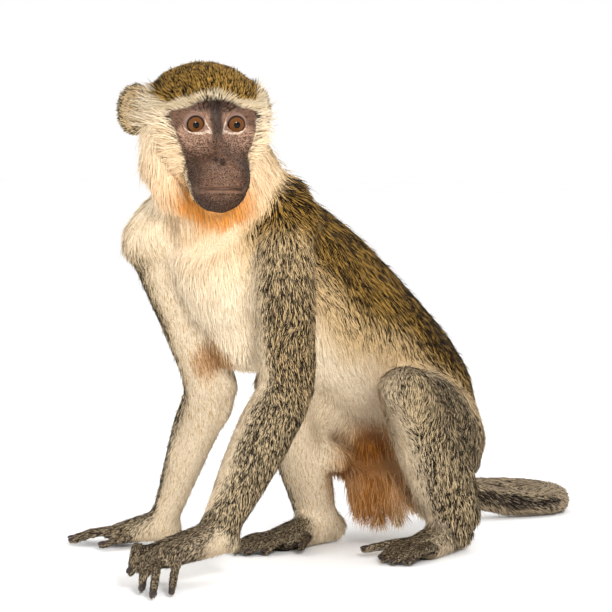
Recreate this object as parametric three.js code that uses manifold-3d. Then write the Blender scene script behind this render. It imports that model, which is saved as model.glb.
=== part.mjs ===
// A seated vervet monkey at life size, resting on both feet, both hands and the length of its tail.
// The body is a set of lofts: tubes through named stations, each with a centre, a half width and two half
// depths. Neighbouring parts are cut clear of each other, so that they meet face to face with a thin gap.
// Body frame before the last move, in millimetres: +Z up, the hips face -Y, the animal's left is +X, and
// z = 0 is the floor.
import * as THREE from "three";
import { mergeVertices } from "three/addons/utils/BufferGeometryUtils.js";
import Module from "manifold-3d";

const wasm = await Module();
wasm.setup();

// ---------- driving dimensions ----------
const GAP = 0.3; // air left between touching parts
const CLEAR = 0.4; // how much a neighbour is grown before it is cut away

const EYE_RADIUS = 9.5;
const EYE_SPREAD = 16.5; // half the distance between the pupils
const EYE_FORWARD = 34.5; // from the braincase centre to the eyeball centre
const EYE_HEIGHT = 0;

const HEAD_CENTRE = [-15.2, -117.9, 366];
const HEAD_YAW = 47; // degrees, the head is turned to the animal's left
const HEAD_PITCH = 10; // degrees, nose down

const SHOULDER = { left: [48, -100, 262], right: [-78, -110, 258] };
const ELBOW = { left: [57, -108, 150], right: [-44, -77, 142] };
const WRIST = { left: [43, -187, 34], right: [-103, -67, 19] };
const HIP = { left: [68, 113, 92], right: [-8, 116, 98] };
const KNEE = { left: [107, -12, 142], right: [-6, -32, 144] };
const ANKLE = { left: [112, 64, 22], right: [-13, 36, 20] };

// ---------- small helpers ----------
const vec = (p) => new THREE.Vector3(...p);
const mix = (a, b, t) => a.map((v, i) => v + (b[i] - v) * t);
const add = (a, b) => a.map((v, i) => v + b[i]);
const minus = (a, b) => a.map((v, i) => v - b[i]);

/** A three.js geometry as a manifold solid, turned the right way out. */
function solid(geometry) {
  const bare = geometry.clone();
  for (const name of Object.keys(bare.attributes)) if (name !== "position") bare.deleteAttribute(name);
  const merged = mergeVertices(bare, 1e-4);
  const vertProperties = merged.attributes.position.array;
  const triVerts = new Uint32Array(merged.index.array);
  const build = () => new wasm.Manifold(new wasm.Mesh({ numProp: 3, vertProperties, triVerts }));
  const made = build();
  if (made.volume() > 0) return made;
  for (let i = 0; i < triVerts.length; i += 3) {
    [triVerts[i], triVerts[i + 1]] = [triVerts[i + 1], triVerts[i]];
  }
  return build();
}

/** The largest closed body of a solid: loose scraps of a cut are dropped, and sealed hollows are filled. */
function largest(shape) {
  return shape.decompose().sort((a, b) => b.volume() - a.volume())[0];
}

const join = (...shapes) => shapes.reduce((all, next) => all.add(next));
const cutAway = (shape, ...others) => others.reduce((rest, other) => rest.subtract(other), shape);

/** Parts a solid at a plane, leaving GAP of air: returns the side the direction points to, then the other. */
function part(shape, point, direction) {
  const n = vec(direction).normalize();
  const offset = n.dot(vec(point));
  return [
    shape.trimByPlane(n.toArray(), offset + GAP / 2),
    shape.trimByPlane(n.clone().negate().toArray(), -offset + GAP / 2),
  ];
}

/** Keeps what is above the floor, so that a part rests on a small flat. */
const onFloor = (shape) => shape.trimByPlane([0, 0, 1], 0);

/**
 * A closed tube through stations { at, w, f, b }: w is the half width, f and b the half depths on the front
 * and back. `front` says where the front is, and `axis` keeps every ring square to one direction. `from` and
 * `to` take a length of it, `dome` rounds the start and end by a length, and `grow` swells it evenly.
 */
function loft(stations, options = {}) {
  const { rings = 12, sides = 16, front = [0, -1, 0], axis } = options;
  const { from = 0, to = 1, dome = [0, 0], grow = 0 } = options;
  const centres = new THREE.CatmullRomCurve3(stations.map((s) => vec(s.at)), false, "catmullrom");
  const sizes = new THREE.CatmullRomCurve3(
    stations.map((s) => new THREE.Vector3(s.w, s.f ?? s.w, s.b ?? s.f ?? s.w)), false, "catmullrom");
  const hints = new THREE.CatmullRomCurve3(stations.map((s) => vec(s.front ?? front)), false, "catmullrom");
  const frames = [];
  for (let i = 0; i <= rings; i++) {
    const t = from + ((to - from) * i) / rings;
    const along = axis ? vec(axis) : centres.getTangent(t);
    const ahead = hints.getPoint(t);
    ahead.addScaledVector(along, -ahead.dot(along)).normalize();
    frames.push({ at: centres.getPoint(t), along, ahead, size: sizes.getPoint(t), scale: 1 });
  }
  const DOME_RINGS = 3;
  const rounded = (frame, length, sign) =>
    Array.from({ length: DOME_RINGS - 1 }, (_, k) => {
      const angle = ((k + 1) / DOME_RINGS) * (Math.PI / 2);
      const at = frame.at.clone().addScaledVector(frame.along, sign * length * Math.sin(angle));
      return { ...frame, at, scale: Math.cos(angle) };
    });
  const first = frames[0];
  const last = frames[rings];
  const all = [...frames];
  if (dome[0]) all.unshift(...rounded(first, dome[0], -1).reverse());
  if (dome[1]) all.push(...rounded(last, dome[1], 1));
  const points = [];
  for (const { at, along, ahead, size, scale } of all) {
    const side = new THREE.Vector3().crossVectors(ahead, along);
    for (let k = 0; k < sides; k++) {
      const angle = (k / sides) * Math.PI * 2;
      const depth = Math.sin(angle) >= 0 ? size.y : size.z;
      points.push(
        at.clone()
          .addScaledVector(side, (size.x * scale + grow) * Math.cos(angle))
          .addScaledVector(ahead, (depth * scale + grow) * Math.sin(angle)));
    }
  }
  const start = points.push(first.at.clone().addScaledVector(first.along, -dome[0] - grow)) - 1;
  const end = points.push(last.at.clone().addScaledVector(last.along, dome[1] + grow)) - 1;
  const index = [];
  for (let r = 0; r < all.length - 1; r++) {
    for (let k = 0; k < sides; k++) {
      const a = r * sides + k;
      const b = r * sides + ((k + 1) % sides);
      index.push(a, b, a + sides, b, b + sides, a + sides);
    }
  }
  const lastRing = (all.length - 1) * sides;
  for (let k = 0; k < sides; k++) {
    const next = (k + 1) % sides;
    index.push(start, next, k, end, lastRing + k, lastRing + next);
  }
  const geometry = new THREE.BufferGeometry().setFromPoints(points);
  geometry.setIndex(index);
  return geometry;
}

/**
 * A flat lock of hair that tapers to its tip. It leaves its root towards `over`, a point that it bends round,
 * and `front` is the way its flat side faces.
 */
function lock({ root, over, tip, front, w, thick = 2.6 }, grow = 0) {
  const bow = (t) => add(mix(root, over, t), minus(mix(over, tip, t), mix(root, over, t)).map((v) => v * t));
  const stations = [
    { at: bow(0), w: w * 0.8, f: thick },
    { at: bow(0.4), w, f: thick },
    { at: bow(0.75), w: w * 0.66, f: thick * 0.75 },
    { at: bow(1), w: 0.9, f: 0.5 },
  ];
  return solid(loft(stations, { rings: 3, sides: 4, front, grow }));
}

const ellipsoid = (radii, centre, segments = 20) =>
  new THREE.SphereGeometry(1, segments, Math.round(segments * 0.7)).scale(...radii).translate(...centre);

// ---------- trunk ----------
// Stations from the rump to the root of the neck. The front of a trunk station is the belly side.
const BELLY = [0, -0.55, -0.84];
const TRUNK = [
  { at: [29, 170, 84], w: 22, f: 22, b: 20 },
  { at: [29, 150, 103], w: 49, f: 46, b: 44 },
  { at: [27, 116, 130], w: 62, f: 62, b: 58 },
  { at: [19, 60, 170], w: 64, f: 66, b: 67 },
  { at: [8, 4, 207], w: 63, f: 70, b: 75.5 },
  { at: [-4, -50, 242], w: 63, f: 84, b: 73 },
  { at: [-12, -88, 268], w: 58, f: 72, b: 64 },
  { at: [-15, -110, 284], w: 46, f: 48, b: 46 },
];
const trunkTube = (grow = 0) =>
  solid(loft(TRUNK, { rings: 12, sides: 16, front: BELLY, dome: [6, 8], grow }));

// The muscle and coat over each shoulder blade, from the top of the arm to the withers.
const BLADE = {
  left: [[50, -100, 248], [44, -92, 274], [30, -78, 294], [12, -66, 300]],
  right: [[-80, -110, 254], [-75, -104, 270], [-58, -90, 290], [-38, -74, 298]],
};
const BLADE_SIZES = { left: [18, 30, 31, 26], right: [30, 32, 31, 26] };
function blade(side, grow = 0) {
  const stations = BLADE[side].map((at, i) => ({ at, w: BLADE_SIZES[side][i] }));
  return solid(loft(stations, { rings: 4, sides: 12, dome: [18, 16], grow }));
}

/** The low end of the chest between the arms. */
const BRISKET = { at: [-3, -82, 198], radii: [42, 34, 43] };

/** The core of the long hair between the thighs. */
const GROIN = [
  { at: [32, 76, 92], w: 34, f: 26 },
  { at: [37, 62, 83], w: 31, f: 22 },
  { at: [41, 52, 76], w: 26, f: 15 },
];
const groin = (grow = 0) => solid(loft(GROIN, { rings: 5, sides: 12, front: BELLY, dome: [20, 6], grow }));

// The long rufous hair that hangs between the thighs: the middle of the curtain from top to tips.
const FRINGE = [
  { at: [36, 56, 82], w: 32, f: 12 },
  { at: [44, 44, 62], w: 32, f: 11 },
  { at: [54, 38, 40], w: 28, f: 8 },
  { at: [65, 37, 19], w: 20, f: 5 },
];
const FRINGE_FRONT = [0.3, -0.95, 0];
const FRINGE_ACROSS = [0.95, 0.3, 0];
const fringeEnvelope = (grow = 0) =>
  solid(loft(FRINGE, { rings: 6, sides: 12, front: FRINGE_FRONT, dome: [4, 5], grow }));

/** The dense upper half of the curtain, under the locks. */
const fringeCore = () =>
  solid(loft(FRINGE.slice(0, 3).map(({ at, w, f }) => ({ at, w: w * 0.8, f: f * 0.5 })), {
    rings: 4, sides: 10, front: FRINGE_FRONT, dome: [3, 4], to: 0.75,
  }));

/** Layers of hanging locks, the front ones starting higher. */
function fringeLocks() {
  const middle = new THREE.CatmullRomCurve3(FRINGE.map(({ at }) => vec(at)));
  const locks = [];
  for (const { start, end, ahead, count } of FRINGE_LAYERS) {
    for (let i = 0; i < count; i++) {
      const across = (i / (count - 1)) * 2 - 1;
      const on = (t, spread, forward) =>
        add(add(middle.getPoint(t).toArray(), FRINGE_ACROSS.map((v) => v * across * spread)),
          FRINGE_FRONT.map((v) => v * forward));
      locks.push(lock({
        root: on(start, 24, ahead * 0.3),
        over: on(start * 0.6 + end * 0.4, 29, ahead * 1.6),
        tip: on(end - 0.1 * across * across, 21 + 4 * (i % 2), ahead * 0.7),
        front: FRINGE_FRONT,
        w: 9.5,
      }));
    }
  }
  return join(...locks);
}
const FRINGE_LAYERS = [
  { start: 0.03, end: 0.72, ahead: 11, count: 5 },
  { start: 0.3, end: 0.98, ahead: 5, count: 4 },
  { start: 0.25, end: 0.88, ahead: -5, count: 4 },
];

const trunkLoft = (grow = 0) => join(trunkTube(grow), groin(grow));
const WAIST = { at: [22, 80, 150], along: [-0.15, -0.82, 0.55] };
const RIB_END = { at: [2, -20, 217], along: [-0.2, -0.83, 0.52] };

// ---------- head, in its own frame: +Z up, the face looks along -Y ----------
const headMatrix = new THREE.Matrix4()
  .makeTranslation(...HEAD_CENTRE)
  .multiply(new THREE.Matrix4().makeRotationZ(THREE.MathUtils.degToRad(HEAD_YAW)))
  .multiply(new THREE.Matrix4().makeRotationX(THREE.MathUtils.degToRad(HEAD_PITCH)));
const onHead = (geometry) => geometry.clone().applyMatrix4(headMatrix);
const onHeadSolid = (shape) => shape.transform(headMatrix.toArray());
const ahead = (forward, height, side = 0) => [side, -forward, height];

// Stations from the back of the skull to the front of the muzzle: w is the half width, f and b the heights
// above and below the centre.
const HEAD = [
  { at: ahead(-54, 2), w: 16, f: 14, b: 14 },
  { at: ahead(-46, 2), w: 38, f: 31, b: 32 },
  { at: ahead(-26, 2), w: 50, f: 41, b: 46 },
  { at: ahead(2, 2), w: 45, f: 39, b: 52 },
  { at: ahead(22, 0), w: 41, f: 32, b: 58 },
  { at: ahead(33, -8), w: 37, f: 27, b: 55 },
  { at: ahead(41, -18), w: 32, f: 21, b: 47 },
  { at: ahead(51, -30), w: 28, f: 20, b: 37 },
  { at: ahead(62, -39), w: 27, f: 19, b: 28 },
  { at: ahead(71, -42), w: 24, f: 17, b: 23 },
  { at: ahead(77, -45), w: 15, f: 11, b: 14 },
];
const UP = [0, 0, 1];
const FACING = [0, -1, 0];
const headLoft = (grow = 0) =>
  solid(onHead(loft(HEAD, { rings: 15, sides: 16, front: UP, axis: FACING, dome: [3, 3], grow })));

/** The bony bar over the eyes. */
function brow() {
  const bar = [
    { at: ahead(10, 5, -38), w: 8, f: 5 },
    { at: ahead(25, 11, -25), w: 10, f: 6 },
    { at: ahead(28, 11, 0), w: 11, f: 6 },
    { at: ahead(25, 11, 25), w: 10, f: 6 },
    { at: ahead(10, 5, 38), w: 8, f: 5 },
  ];
  return solid(onHead(loft(bar, { rings: 8, sides: 10, front: UP, dome: [3, 3] })));
}

/** The ridge of the nose, from between the eyes to the nostrils. */
function nose() {
  const ridge = [
    { at: ahead(33, 12), w: 8, f: 3, b: 10 },
    { at: ahead(41, 0), w: 6, f: 2.5, b: 10 },
    { at: ahead(50, -11), w: 7, f: 2.5, b: 10 },
    { at: ahead(62, -19), w: 9, f: 3.5, b: 10 },
    { at: ahead(70, -24), w: 8, f: 5, b: 8 },
  ];
  return solid(onHead(loft(ridge, { rings: 8, sides: 8, front: [0, -0.7, 0.7], dome: [3, 3] })));
}

/** The flesh beside and under an eye, over the cheekbone. */
const cheekbone = (side) => solid(onHead(ellipsoid([12, 15, 15], ahead(25, -11, side * 24), 10)));

// The line of the mouth, from corner to corner round the muzzle.
const MOUTH_LINE = [
  [-22, 73, -50.5],
  [-18, 77.3, -49],
  [-9.5, 80.6, -47],
  [0, 81.2, -46.5],
  [9.5, 80.6, -47],
  [18, 77.3, -49],
  [22, 73, -50.5],
].map(([side, forward, height]) => ahead(forward, height, side));

/** A thin tube along the mouth, raised or lowered, for a lip or for the slit between the lips. */
function alongMouth(radius, height, inward, flat = 1) {
  const stations = MOUTH_LINE.map(([x, y, z]) => {
    const share = inward / (Math.hypot(x, y + 58) || 1);
    return { at: [x - x * share, y - (y + 58) * share, z + height], w: radius, f: radius * flat };
  });
  return solid(onHead(loft(stations, { rings: 9, sides: 6, front: UP, dome: [1, 1] })));
}

const eyeCentre = (side) => ahead(EYE_FORWARD, EYE_HEIGHT, side * EYE_SPREAD);
const eyeBall = (side, grow = 0) =>
  solid(onHead(ellipsoid(Array(3).fill(EYE_RADIUS + grow), eyeCentre(side), 12)));

/** The ring of the two lids round an eye. */
function lids(side) {
  const ring = new THREE.TorusGeometry(10, 2.9, 5, 14)
    .scale(1.04, 0.9, 0.9)
    .rotateX(Math.PI / 2)
    .rotateZ(side * 0.2)
    .translate(...add(eyeCentre(side), [side * 0.8, -4.8, 0]));
  return solid(onHead(ring));
}

/** The almond-shaped opening between the lids, in front of the eyeball. */
const lidOpening = (side) =>
  solid(onHead(ellipsoid([8.2, 12, 6.9], add(eyeCentre(side), [side * 0.8, -13, 0]), 14)));

function nostril(side) {
  const pit = ellipsoid([1.8, 4, 2.2], [0, 0, 0], 8).rotateZ(side * 0.5);
  return solid(onHead(pit.translate(...ahead(75.5, -24, side * 3.2))));
}

function head(cheekHair) {
  const lips = [alongMouth(2.4, 2.4, 2), alongMouth(2.4, -2.6, 2.4)];
  const besideEyes = [cheekbone(1), cheekbone(-1), lids(1), lids(-1)];
  const mass = join(headLoft(), cheekHair, brow(), nose(), ...besideEyes, ...lips);
  return largest(
    cutAway(
      mass, eyeBall(1, GAP), eyeBall(-1, GAP), lidOpening(1), lidOpening(-1), nostril(1), nostril(-1),
      alongMouth(2.6, 0, 0.6, 0.25)));
}

/** How far the hair of one cheek reaches, swept outwards and back from the temple round to the throat. */
function ruffEnvelope(side, { share = 1, grow = 0, sides = 10 } = {}) {
  const stations = ruffStations(side).map((s) => ({ ...s, w: s.w * (0.4 + 0.6 * share), f: s.f * share }));
  return solid(onHead(loft(stations, { rings: 7, sides, dome: [8, 4], grow })));
}

const ruffStations = (side) =>
  RUFF.map(({ at: [forward, height, out], to: [back, down], ...size }) => ({
    at: ahead(forward, height, side * out),
    front: vec([side * 0.8, back, down]).normalize().toArray(),
    ...size,
    f: size.f * (side > 0 ? 0.66 : 1), // the left cheek is pressed close by the raised shoulder
  }));

// The edge of the bare face, from the temple round the cheek to the chin.
const FACE_EDGE = [[20, 5, 36], [34, -14, 31], [43, -31, 27], [48, -46, 24], [50, -60, 16], [50, -66, 4]];

/** Rows of flat locks over a cheek: they start at or behind the face, and sweep outwards, back and down. */
function ruffLocks(side) {
  const stations = ruffStations(side);
  const curve = (points) => new THREE.CatmullRomCurve3(points.map(vec));
  const edge = curve(FACE_EDGE.map(([forward, height, out]) => ahead(forward, height, side * out)));
  const middle = curve(stations.map(({ at }) => at));
  const fronts = curve(stations.map(({ front }) => front));
  const sizes = curve(stations.map(({ w, f }) => [w, f, 0]));
  const locks = [];
  for (const { start, shift, reach, back, count } of RUFF_ROWS) {
    for (let i = 0; i < count; i++) {
      const t = (i + shift) / count;
      const size = sizes.getPoint(t);
      const out = fronts.getPoint(t).normalize();
      const on = (share, behind) =>
        middle.getPoint(t).addScaledVector(out, size.y * share).add(new THREE.Vector3(0, behind, 0));
      const root = edge.getPoint(t).lerp(on(0.1, 0), start);
      const tip = on(reach * (1 - 0.06 * (i % 2)), back).addScaledVector(middle.getTangent(t), 5);
      const over = on(reach * 0.8, back * 0.3 - 9 * (1 - start));
      locks.push(lock({
        root: root.toArray(),
        over: over.toArray(),
        tip: tip.toArray(),
        front: out.clone().add(new THREE.Vector3(0, -0.9, 0)).toArray(),
        w: 10.5,
      }));
    }
  }
  return onHeadSolid(join(...locks));
}
const RUFF_ROWS = [
  { start: 0.15, shift: 0.5, reach: 0.93, back: 1, count: 6 },
  { start: 0.6, shift: 0.15, reach: 1, back: 9, count: 6 },
];

/** The white band over the brows: short locks that stand up and lean outwards. */
function browLocks() {
  const locks = [];
  for (let i = 0; i < BROW_LOCKS; i++) {
    const across = (i / (BROW_LOCKS - 1)) * 2 - 1;
    const bend = across * across;
    locks.push(lock({
      root: ahead(34 - 18 * bend, 10 - 2 * bend, 36 * across),
      over: ahead(42 - 21 * bend, 19 - 3 * bend, 41 * across),
      tip: ahead(30 - 20 * bend, 31 - 7 * bend - (i % 2), 44 * across),
      front: [across * 0.7, -1, 0.35],
      w: 7.2,
      thick: 2.4,
    }));
  }
  return onHeadSolid(join(...locks));
}
const BROW_LOCKS = 8;
const RUFF = [
  { at: [6, 4, 40], w: 8, f: 12, b: 8, to: [0.6, 0.1] },
  { at: [6, -16, 42], w: 15, f: 27, b: 10, to: [0.6, -0.1] },
  { at: [10, -36, 40], w: 19, f: 29, b: 12, to: [0.5, -0.3] },
  { at: [20, -54, 32], w: 19, f: 27, b: 14, to: [0.4, -0.6] },
  { at: [32, -66, 16], w: 15, f: 17, b: 12, to: [0.3, -1.4] },
  { at: [38, -68, -4], w: 12, f: 12, b: 12, to: [0.2, -2] },
];

/** A cupped ear on the side of the head. Its hollow opens forwards and outwards. */
function ear(side, headGrown, neckGrown) {
  const [spread, turn] = side > 0 ? [45, 0.85] : [55, 0.6]; // the right ear is held further out
  const place = (geometry) =>
    onHead(geometry.rotateX(-0.15).rotateZ(side * turn).translate(...ahead(-20, 2, side * spread)));
  const shell = solid(place(ellipsoid([17, 6.5, 23], [0, 0, 0], 12)));
  const cup = solid(place(ellipsoid([13.5, 7, 19], [side * 1.5, -4.5, 0.5], 10)));
  return largest(cutAway(shell, cup, headGrown, neckGrown));
}

// ---------- neck ----------
const NECK = [
  { at: [-13, -90, 272], w: 52, f: 42, b: 44 },
  { at: [-13, -95, 302], w: 54, f: 46, b: 50 },
  { at: [-14, -102, 330], w: 46, f: 40, b: 44 },
  { at: [-14, -108, 352], w: 34, f: 32, b: 34 },
];
const FACING_LEFT = [0.55, -0.83, 0];
const neckLoft = (grow = 0) =>
  solid(loft(NECK, { rings: 5, sides: 12, front: FACING_LEFT, dome: [2, 2], grow }));

// ---------- limbs ----------
/** Stations between joints: each entry names the bone it lies on, how far along, and its sizes. */
const onBone = (a, b, rows) => rows.map(({ t, ...size }) => ({ at: mix(a, b, t), ...size }));

const FOREARM = {
  left: [
    { t: 0.28, w: 26, f: 25, b: 26 },
    { t: 0.6, w: 23, f: 22, b: 23 },
    { t: 0.94, w: 17, f: 15, b: 16 },
  ],
  right: [
    { t: 0.28, w: 23, f: 22, b: 22 },
    { t: 0.6, w: 19, f: 18, b: 18 },
    { t: 0.94, w: 16, f: 13, b: 13 },
  ],
};
const UPPER_ARM = { left: 1, right: 0.84 }; // the right arm is seen slimmer, stretched further out
const armStations = (side) => {
  const k = UPPER_ARM[side];
  return [
    ...onBone(SHOULDER[side], ELBOW[side], [
      { t: -0.08, w: 24, f: 24, b: 24 },
      { t: 0.2, w: 29 * k, f: 27 * k, b: 30 * k },
      { t: 0.6, w: 27 * k, f: 25 * k, b: 29 * k },
      { t: 1.0, w: 25, f: 24, b: 27 },
    ]),
    ...onBone(ELBOW[side], WRIST[side], FOREARM[side]),
  ];
};
const ARM_TOP = 0.12; // where the upper arm is parted from the chest, as a share of its length
const OUTWARD = { left: [0.5, -0.86, 0], right: [-0.6, -0.8, 0] };
const armLoft = (side, grow = 0) =>
  solid(loft(armStations(side), { rings: 14, sides: 10, front: OUTWARD[side], dome: [10, 6], grow }));

const thighStations = (side) =>
  onBone(HIP[side], KNEE[side], [
    { t: -0.2, w: 33, f: 38, b: 44 },
    { t: 0.1, w: 40, f: 48, b: 48 },
    { t: 0.5, w: 34, f: 42, b: 40 },
    { t: 0.85, w: 24, f: 27, b: 27 },
    { t: 1.0, w: 19, f: 20, b: 20 },
  ]);
const UPWARD = [0, -0.3, 1];
const thighLoft = (side, grow = 0) =>
  solid(loft(thighStations(side), { rings: 7, sides: 10, front: UPWARD, dome: [16, 10], grow }));

// The left shank is pressed flat against its thigh, and its coat stands out further.
const SHANK = {
  left: [
    { t: -0.06, w: 24, f: 22, b: 22 },
    { t: 0.25, w: 29, f: 25, b: 37 },
    { t: 0.6, w: 31, f: 28, b: 40 },
    { t: 1.0, w: 24, f: 24, b: 26 },
  ],
  right: [
    { t: -0.06, w: 23, f: 21, b: 22 },
    { t: 0.25, w: 26, f: 22, b: 34 },
    { t: 0.6, w: 25, f: 21, b: 32 },
    { t: 1.0, w: 19, f: 19, b: 19 },
  ],
};
const FORWARD = [0, -1, 0];
function shankLoft(side, grow = 0) {
  const stations = onBone(KNEE[side], ANKLE[side], SHANK[side]);
  return solid(loft(stations, { rings: 6, sides: 10, front: FORWARD, dome: [12, 4], grow }));
}

// ---------- feet and hands ----------
const FOOT = {
  left: {
    heel: [110, 78],
    ball: [111, 4],
    spread: [1, 0.05],
    tips: [[94, -26], [104, -37], [115, -39], [126, -33]],
    thumb: [70, -14],
  },
  right: {
    heel: [-4, 54],
    ball: [-14, -24],
    spread: [1, -0.12],
    tips: [[-2, -55], [-13, -66], [-24, -68], [-35, -60]],
    thumb: [20, -36],
  },
};

/** The furred foot, from the heel to the roots of the toes. */
function footLoft(side, grow = 0) {
  const { heel, ball } = FOOT[side];
  const place = (t, z) => [...mix(heel, ball, t), z];
  const stations = [
    { at: place(0.0, 14), w: 13, f: 11, b: 15 },
    { at: place(0.25, 17), w: 18, f: 18, b: 18 },
    { at: place(0.6, 13), w: 18, f: 14, b: 15 },
    { at: place(1.0, 9), w: 20, f: 9, b: 11 },
  ];
  return solid(loft(stations, { rings: 5, sides: 9, front: UP, dome: [7, 6], grow }));
}

/** A finger or toe from its root, over a raised middle joint, to its tip on the floor. */
function digit(root, tip, radius, arch, grow = 0) {
  const lift = (p, h) => [p[0], p[1], p[2] + h];
  const stations = [
    { at: root, w: radius * 1.08, f: radius },
    { at: lift(mix(root, tip, 0.35), arch), w: radius, f: radius * 0.95 },
    { at: lift(mix(root, tip, 0.7), arch * 0.6), w: radius * 0.95, f: radius * 0.9 },
    { at: tip, w: radius * 0.86, f: radius * 0.8 },
  ];
  return solid(loft(stations, { rings: 4, sides: 5, front: UP, dome: [0, radius * 0.7], grow }));
}

const TOE_RADIUS = 4.5;
const TOE_SPACING = 10.2;
const FINGER_RADIUS = 4.4;
const DIGITS = ["first", "second", "third", "fourth", "fifth"];

/** Roots and tips of the four long toes and the thumb-like first toe. */
function toes(side) {
  const { ball, spread, tips, thumb, heel } = FOOT[side];
  const inner = side === "left" ? -1 : 1;
  const long = tips.map((tip, i) => {
    const across = (i - 1.5) * TOE_SPACING;
    const order = side === "left" ? across : -across;
    const root = [ball[0] + order * spread[0], ball[1] + order * spread[1] + 4, 9];
    return { root, tip: [...tip, 4], radius: TOE_RADIUS, arch: 5 };
  });
  const base = mix(heel, ball, 0.62);
  const root = [base[0] + inner * 10, base[1], 11];
  return [{ root, tip: [...thumb, 7], radius: TOE_RADIUS * 1.12, arch: 2 }, ...long];
}

const HAND = {
  left: {
    heel: [49, -170, 31],
    end: [27, -236, 26],
    roots: [[6.5, -237, 32], [20.5, -243, 27], [32, -242, 25], [43, -234, 22]],
    tips: [[18.5, -260, 15], [37, -270, 6], [57, -282, 4], [58, -260, 4]],
    thumb: { root: [26, -208, 24], tip: [4, -222, 8] },
    thick: 11.5,
  },
  right: {
    heel: [-90, -65, 15],
    end: [-143, -77, 11],
    roots: [[-136, -89, 11], [-142, -81, 11], [-142, -72, 11], [-137, -63, 11]],
    tips: [[-174, -101, 4], [-184, -90, 4], [-184, -74, 4], [-170, -60, 4]],
    thumb: { root: [-124, -87, 8], tip: [-133, -111, 5] },
    thick: 10.5,
  },
};
const HAND_UP = { left: [0, -0.3, 1], right: UP };

const WRIST_CUT = 0.84; // where the forearm is parted from the wrist, as a share of its length

/** The palm from its heel, under the wrist, to the roots of the fingers. */
function palmLoft(side, grow = 0) {
  const { heel, end, thick } = HAND[side];
  const start = WRIST[side];
  const stations = [
    { at: heel, w: 12, f: 12, b: 11 },
    { at: start, w: 16, f: 15, b: 15 },
    { at: mix(start, end, 0.4), w: 17, f: thick + 2.5, b: thick + 1 },
    { at: mix(start, end, 0.75), w: 18.5, f: thick, b: thick },
    { at: end, w: 18, f: thick - 1.5, b: thick - 1 },
  ];
  return solid(loft(stations, { rings: 6, sides: 10, front: HAND_UP[side], dome: [7, 5], grow }));
}

function fingers(side) {
  const { roots, tips, thumb } = HAND[side];
  return [
    { ...thumb, radius: FINGER_RADIUS * 0.95, arch: 1 },
    ...roots.map((root, i) => ({ root, tip: tips[i], radius: FINGER_RADIUS, arch: 4 })),
  ];
}

// ---------- tail ----------
const TAIL_REST = 12.2; // height of its centre line where it lies on the floor
const TAIL = [
  { at: [27, 150, 108], w: 15 },
  { at: [16, 180, 90], w: 15.2 },
  { at: [2, 203, 62], w: 15.2 },
  { at: [0, 222, 38], w: 15.2 },
  { at: [18, 246, 22], w: 15.2 },
  { at: [46, 273, 13], w: 15.2 },
  { at: [63, 306, TAIL_REST], w: 15.2 },
  { at: [54, 334, TAIL_REST], w: 15.2 },
  { at: [27, 355, TAIL_REST], w: 15.2 },
  { at: [-10, 356, TAIL_REST], w: 15.2 },
  { at: [-56, 333, TAIL_REST], w: 14 },
  { at: [-97, 313, TAIL_REST], w: 14 },
  { at: [-129, 318, TAIL_REST], w: 13.2 },
  { at: [-137, 346, TAIL_REST], w: 12 },
  { at: [-111, 375, TAIL_REST], w: 11.5 },
  { at: [-81, 392, TAIL_REST], w: 10.5 },
];
const TAIL_CUTS = [0, 0.25, 0.5, 0.75, 1];
const TAIL_PARTING = 0.0008; // the gap between two lengths of the tail, as a share of the whole

// ---------- the parts ----------
const fur = (color) => new THREE.MeshStandardMaterial({ color, roughness: 0.9, metalness: 0 });
const MATERIALS = {
  olive: fur(0x6b5637),
  grey: fur(0x857762),
  cream: fur(0xd8c39c),
  bare: new THREE.MeshStandardMaterial({ color: 0x3a2f2b, roughness: 0.6, metalness: 0 }),
  eye: new THREE.MeshStandardMaterial({ color: 0x8a5320, roughness: 0.1, metalness: 0 }),
};

const monkey = new THREE.Group();
monkey.name = "vervet_monkey";

/** Adds a solid to the group as a named mesh. */
function place(name, shape, material) {
  const { vertProperties, triVerts } = largest(shape).getMesh();
  const geometry = new THREE.BufferGeometry();
  geometry.setAttribute("position", new THREE.BufferAttribute(new Float32Array(vertProperties), 3));
  geometry.setIndex(new THREE.BufferAttribute(new Uint32Array(triVerts), 1));
  geometry.computeVertexNormals();
  const mesh = new THREE.Mesh(geometry, MATERIALS[material]);
  mesh.name = name;
  monkey.add(mesh);
}

const SIDES = ["left", "right"];
const trunkGrown = trunkLoft(CLEAR);
const neckGrown = neckLoft(CLEAR);
const ruffGrown = join(...[1, -1].map((side) => ruffEnvelope(side, { grow: CLEAR })));
const headGrown = join(headLoft(CLEAR), ruffGrown);
const shoulder = (side, grow = 0) => join(armLoft(side, grow), blade(side, grow));
const shoulders = join(shoulder("left", CLEAR), shoulder("right", CLEAR));
const legsGrown = join(
  ...SIDES.map((side) => join(thighLoft(side, CLEAR), shankLoft(side, CLEAR), footLoft(side, CLEAR))));

// Each shoulder is parted square to its upper arm: what is above the cut belongs to the chest.
const arms = {};
const caps = [];
for (const side of SIDES) {
  const along = minus(ELBOW[side], SHOULDER[side]);
  const [arm, cap] = part(shoulder(side), mix(SHOULDER[side], ELBOW[side], ARM_TOP), along);
  arms[side] = cutAway(arm, trunkGrown, neckGrown);
  caps.push(cap);
}
const [frontTrunk, rump] = part(trunkTube(), WAIST.at, WAIST.along);
const [ribs, belly] = part(frontTrunk, RIB_END.at, RIB_END.along);
place("pelvis", join(rump, groin(), cutAway(join(fringeCore(), fringeLocks()), legsGrown)), "olive");
place("abdomen", cutAway(belly, groin(CLEAR), fringeEnvelope(CLEAR)), "olive");
const brisket = cutAway(solid(ellipsoid(BRISKET.radii, BRISKET.at, 12)), shoulders);
place("chest", join(ribs, brisket, ...caps), "cream");

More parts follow.
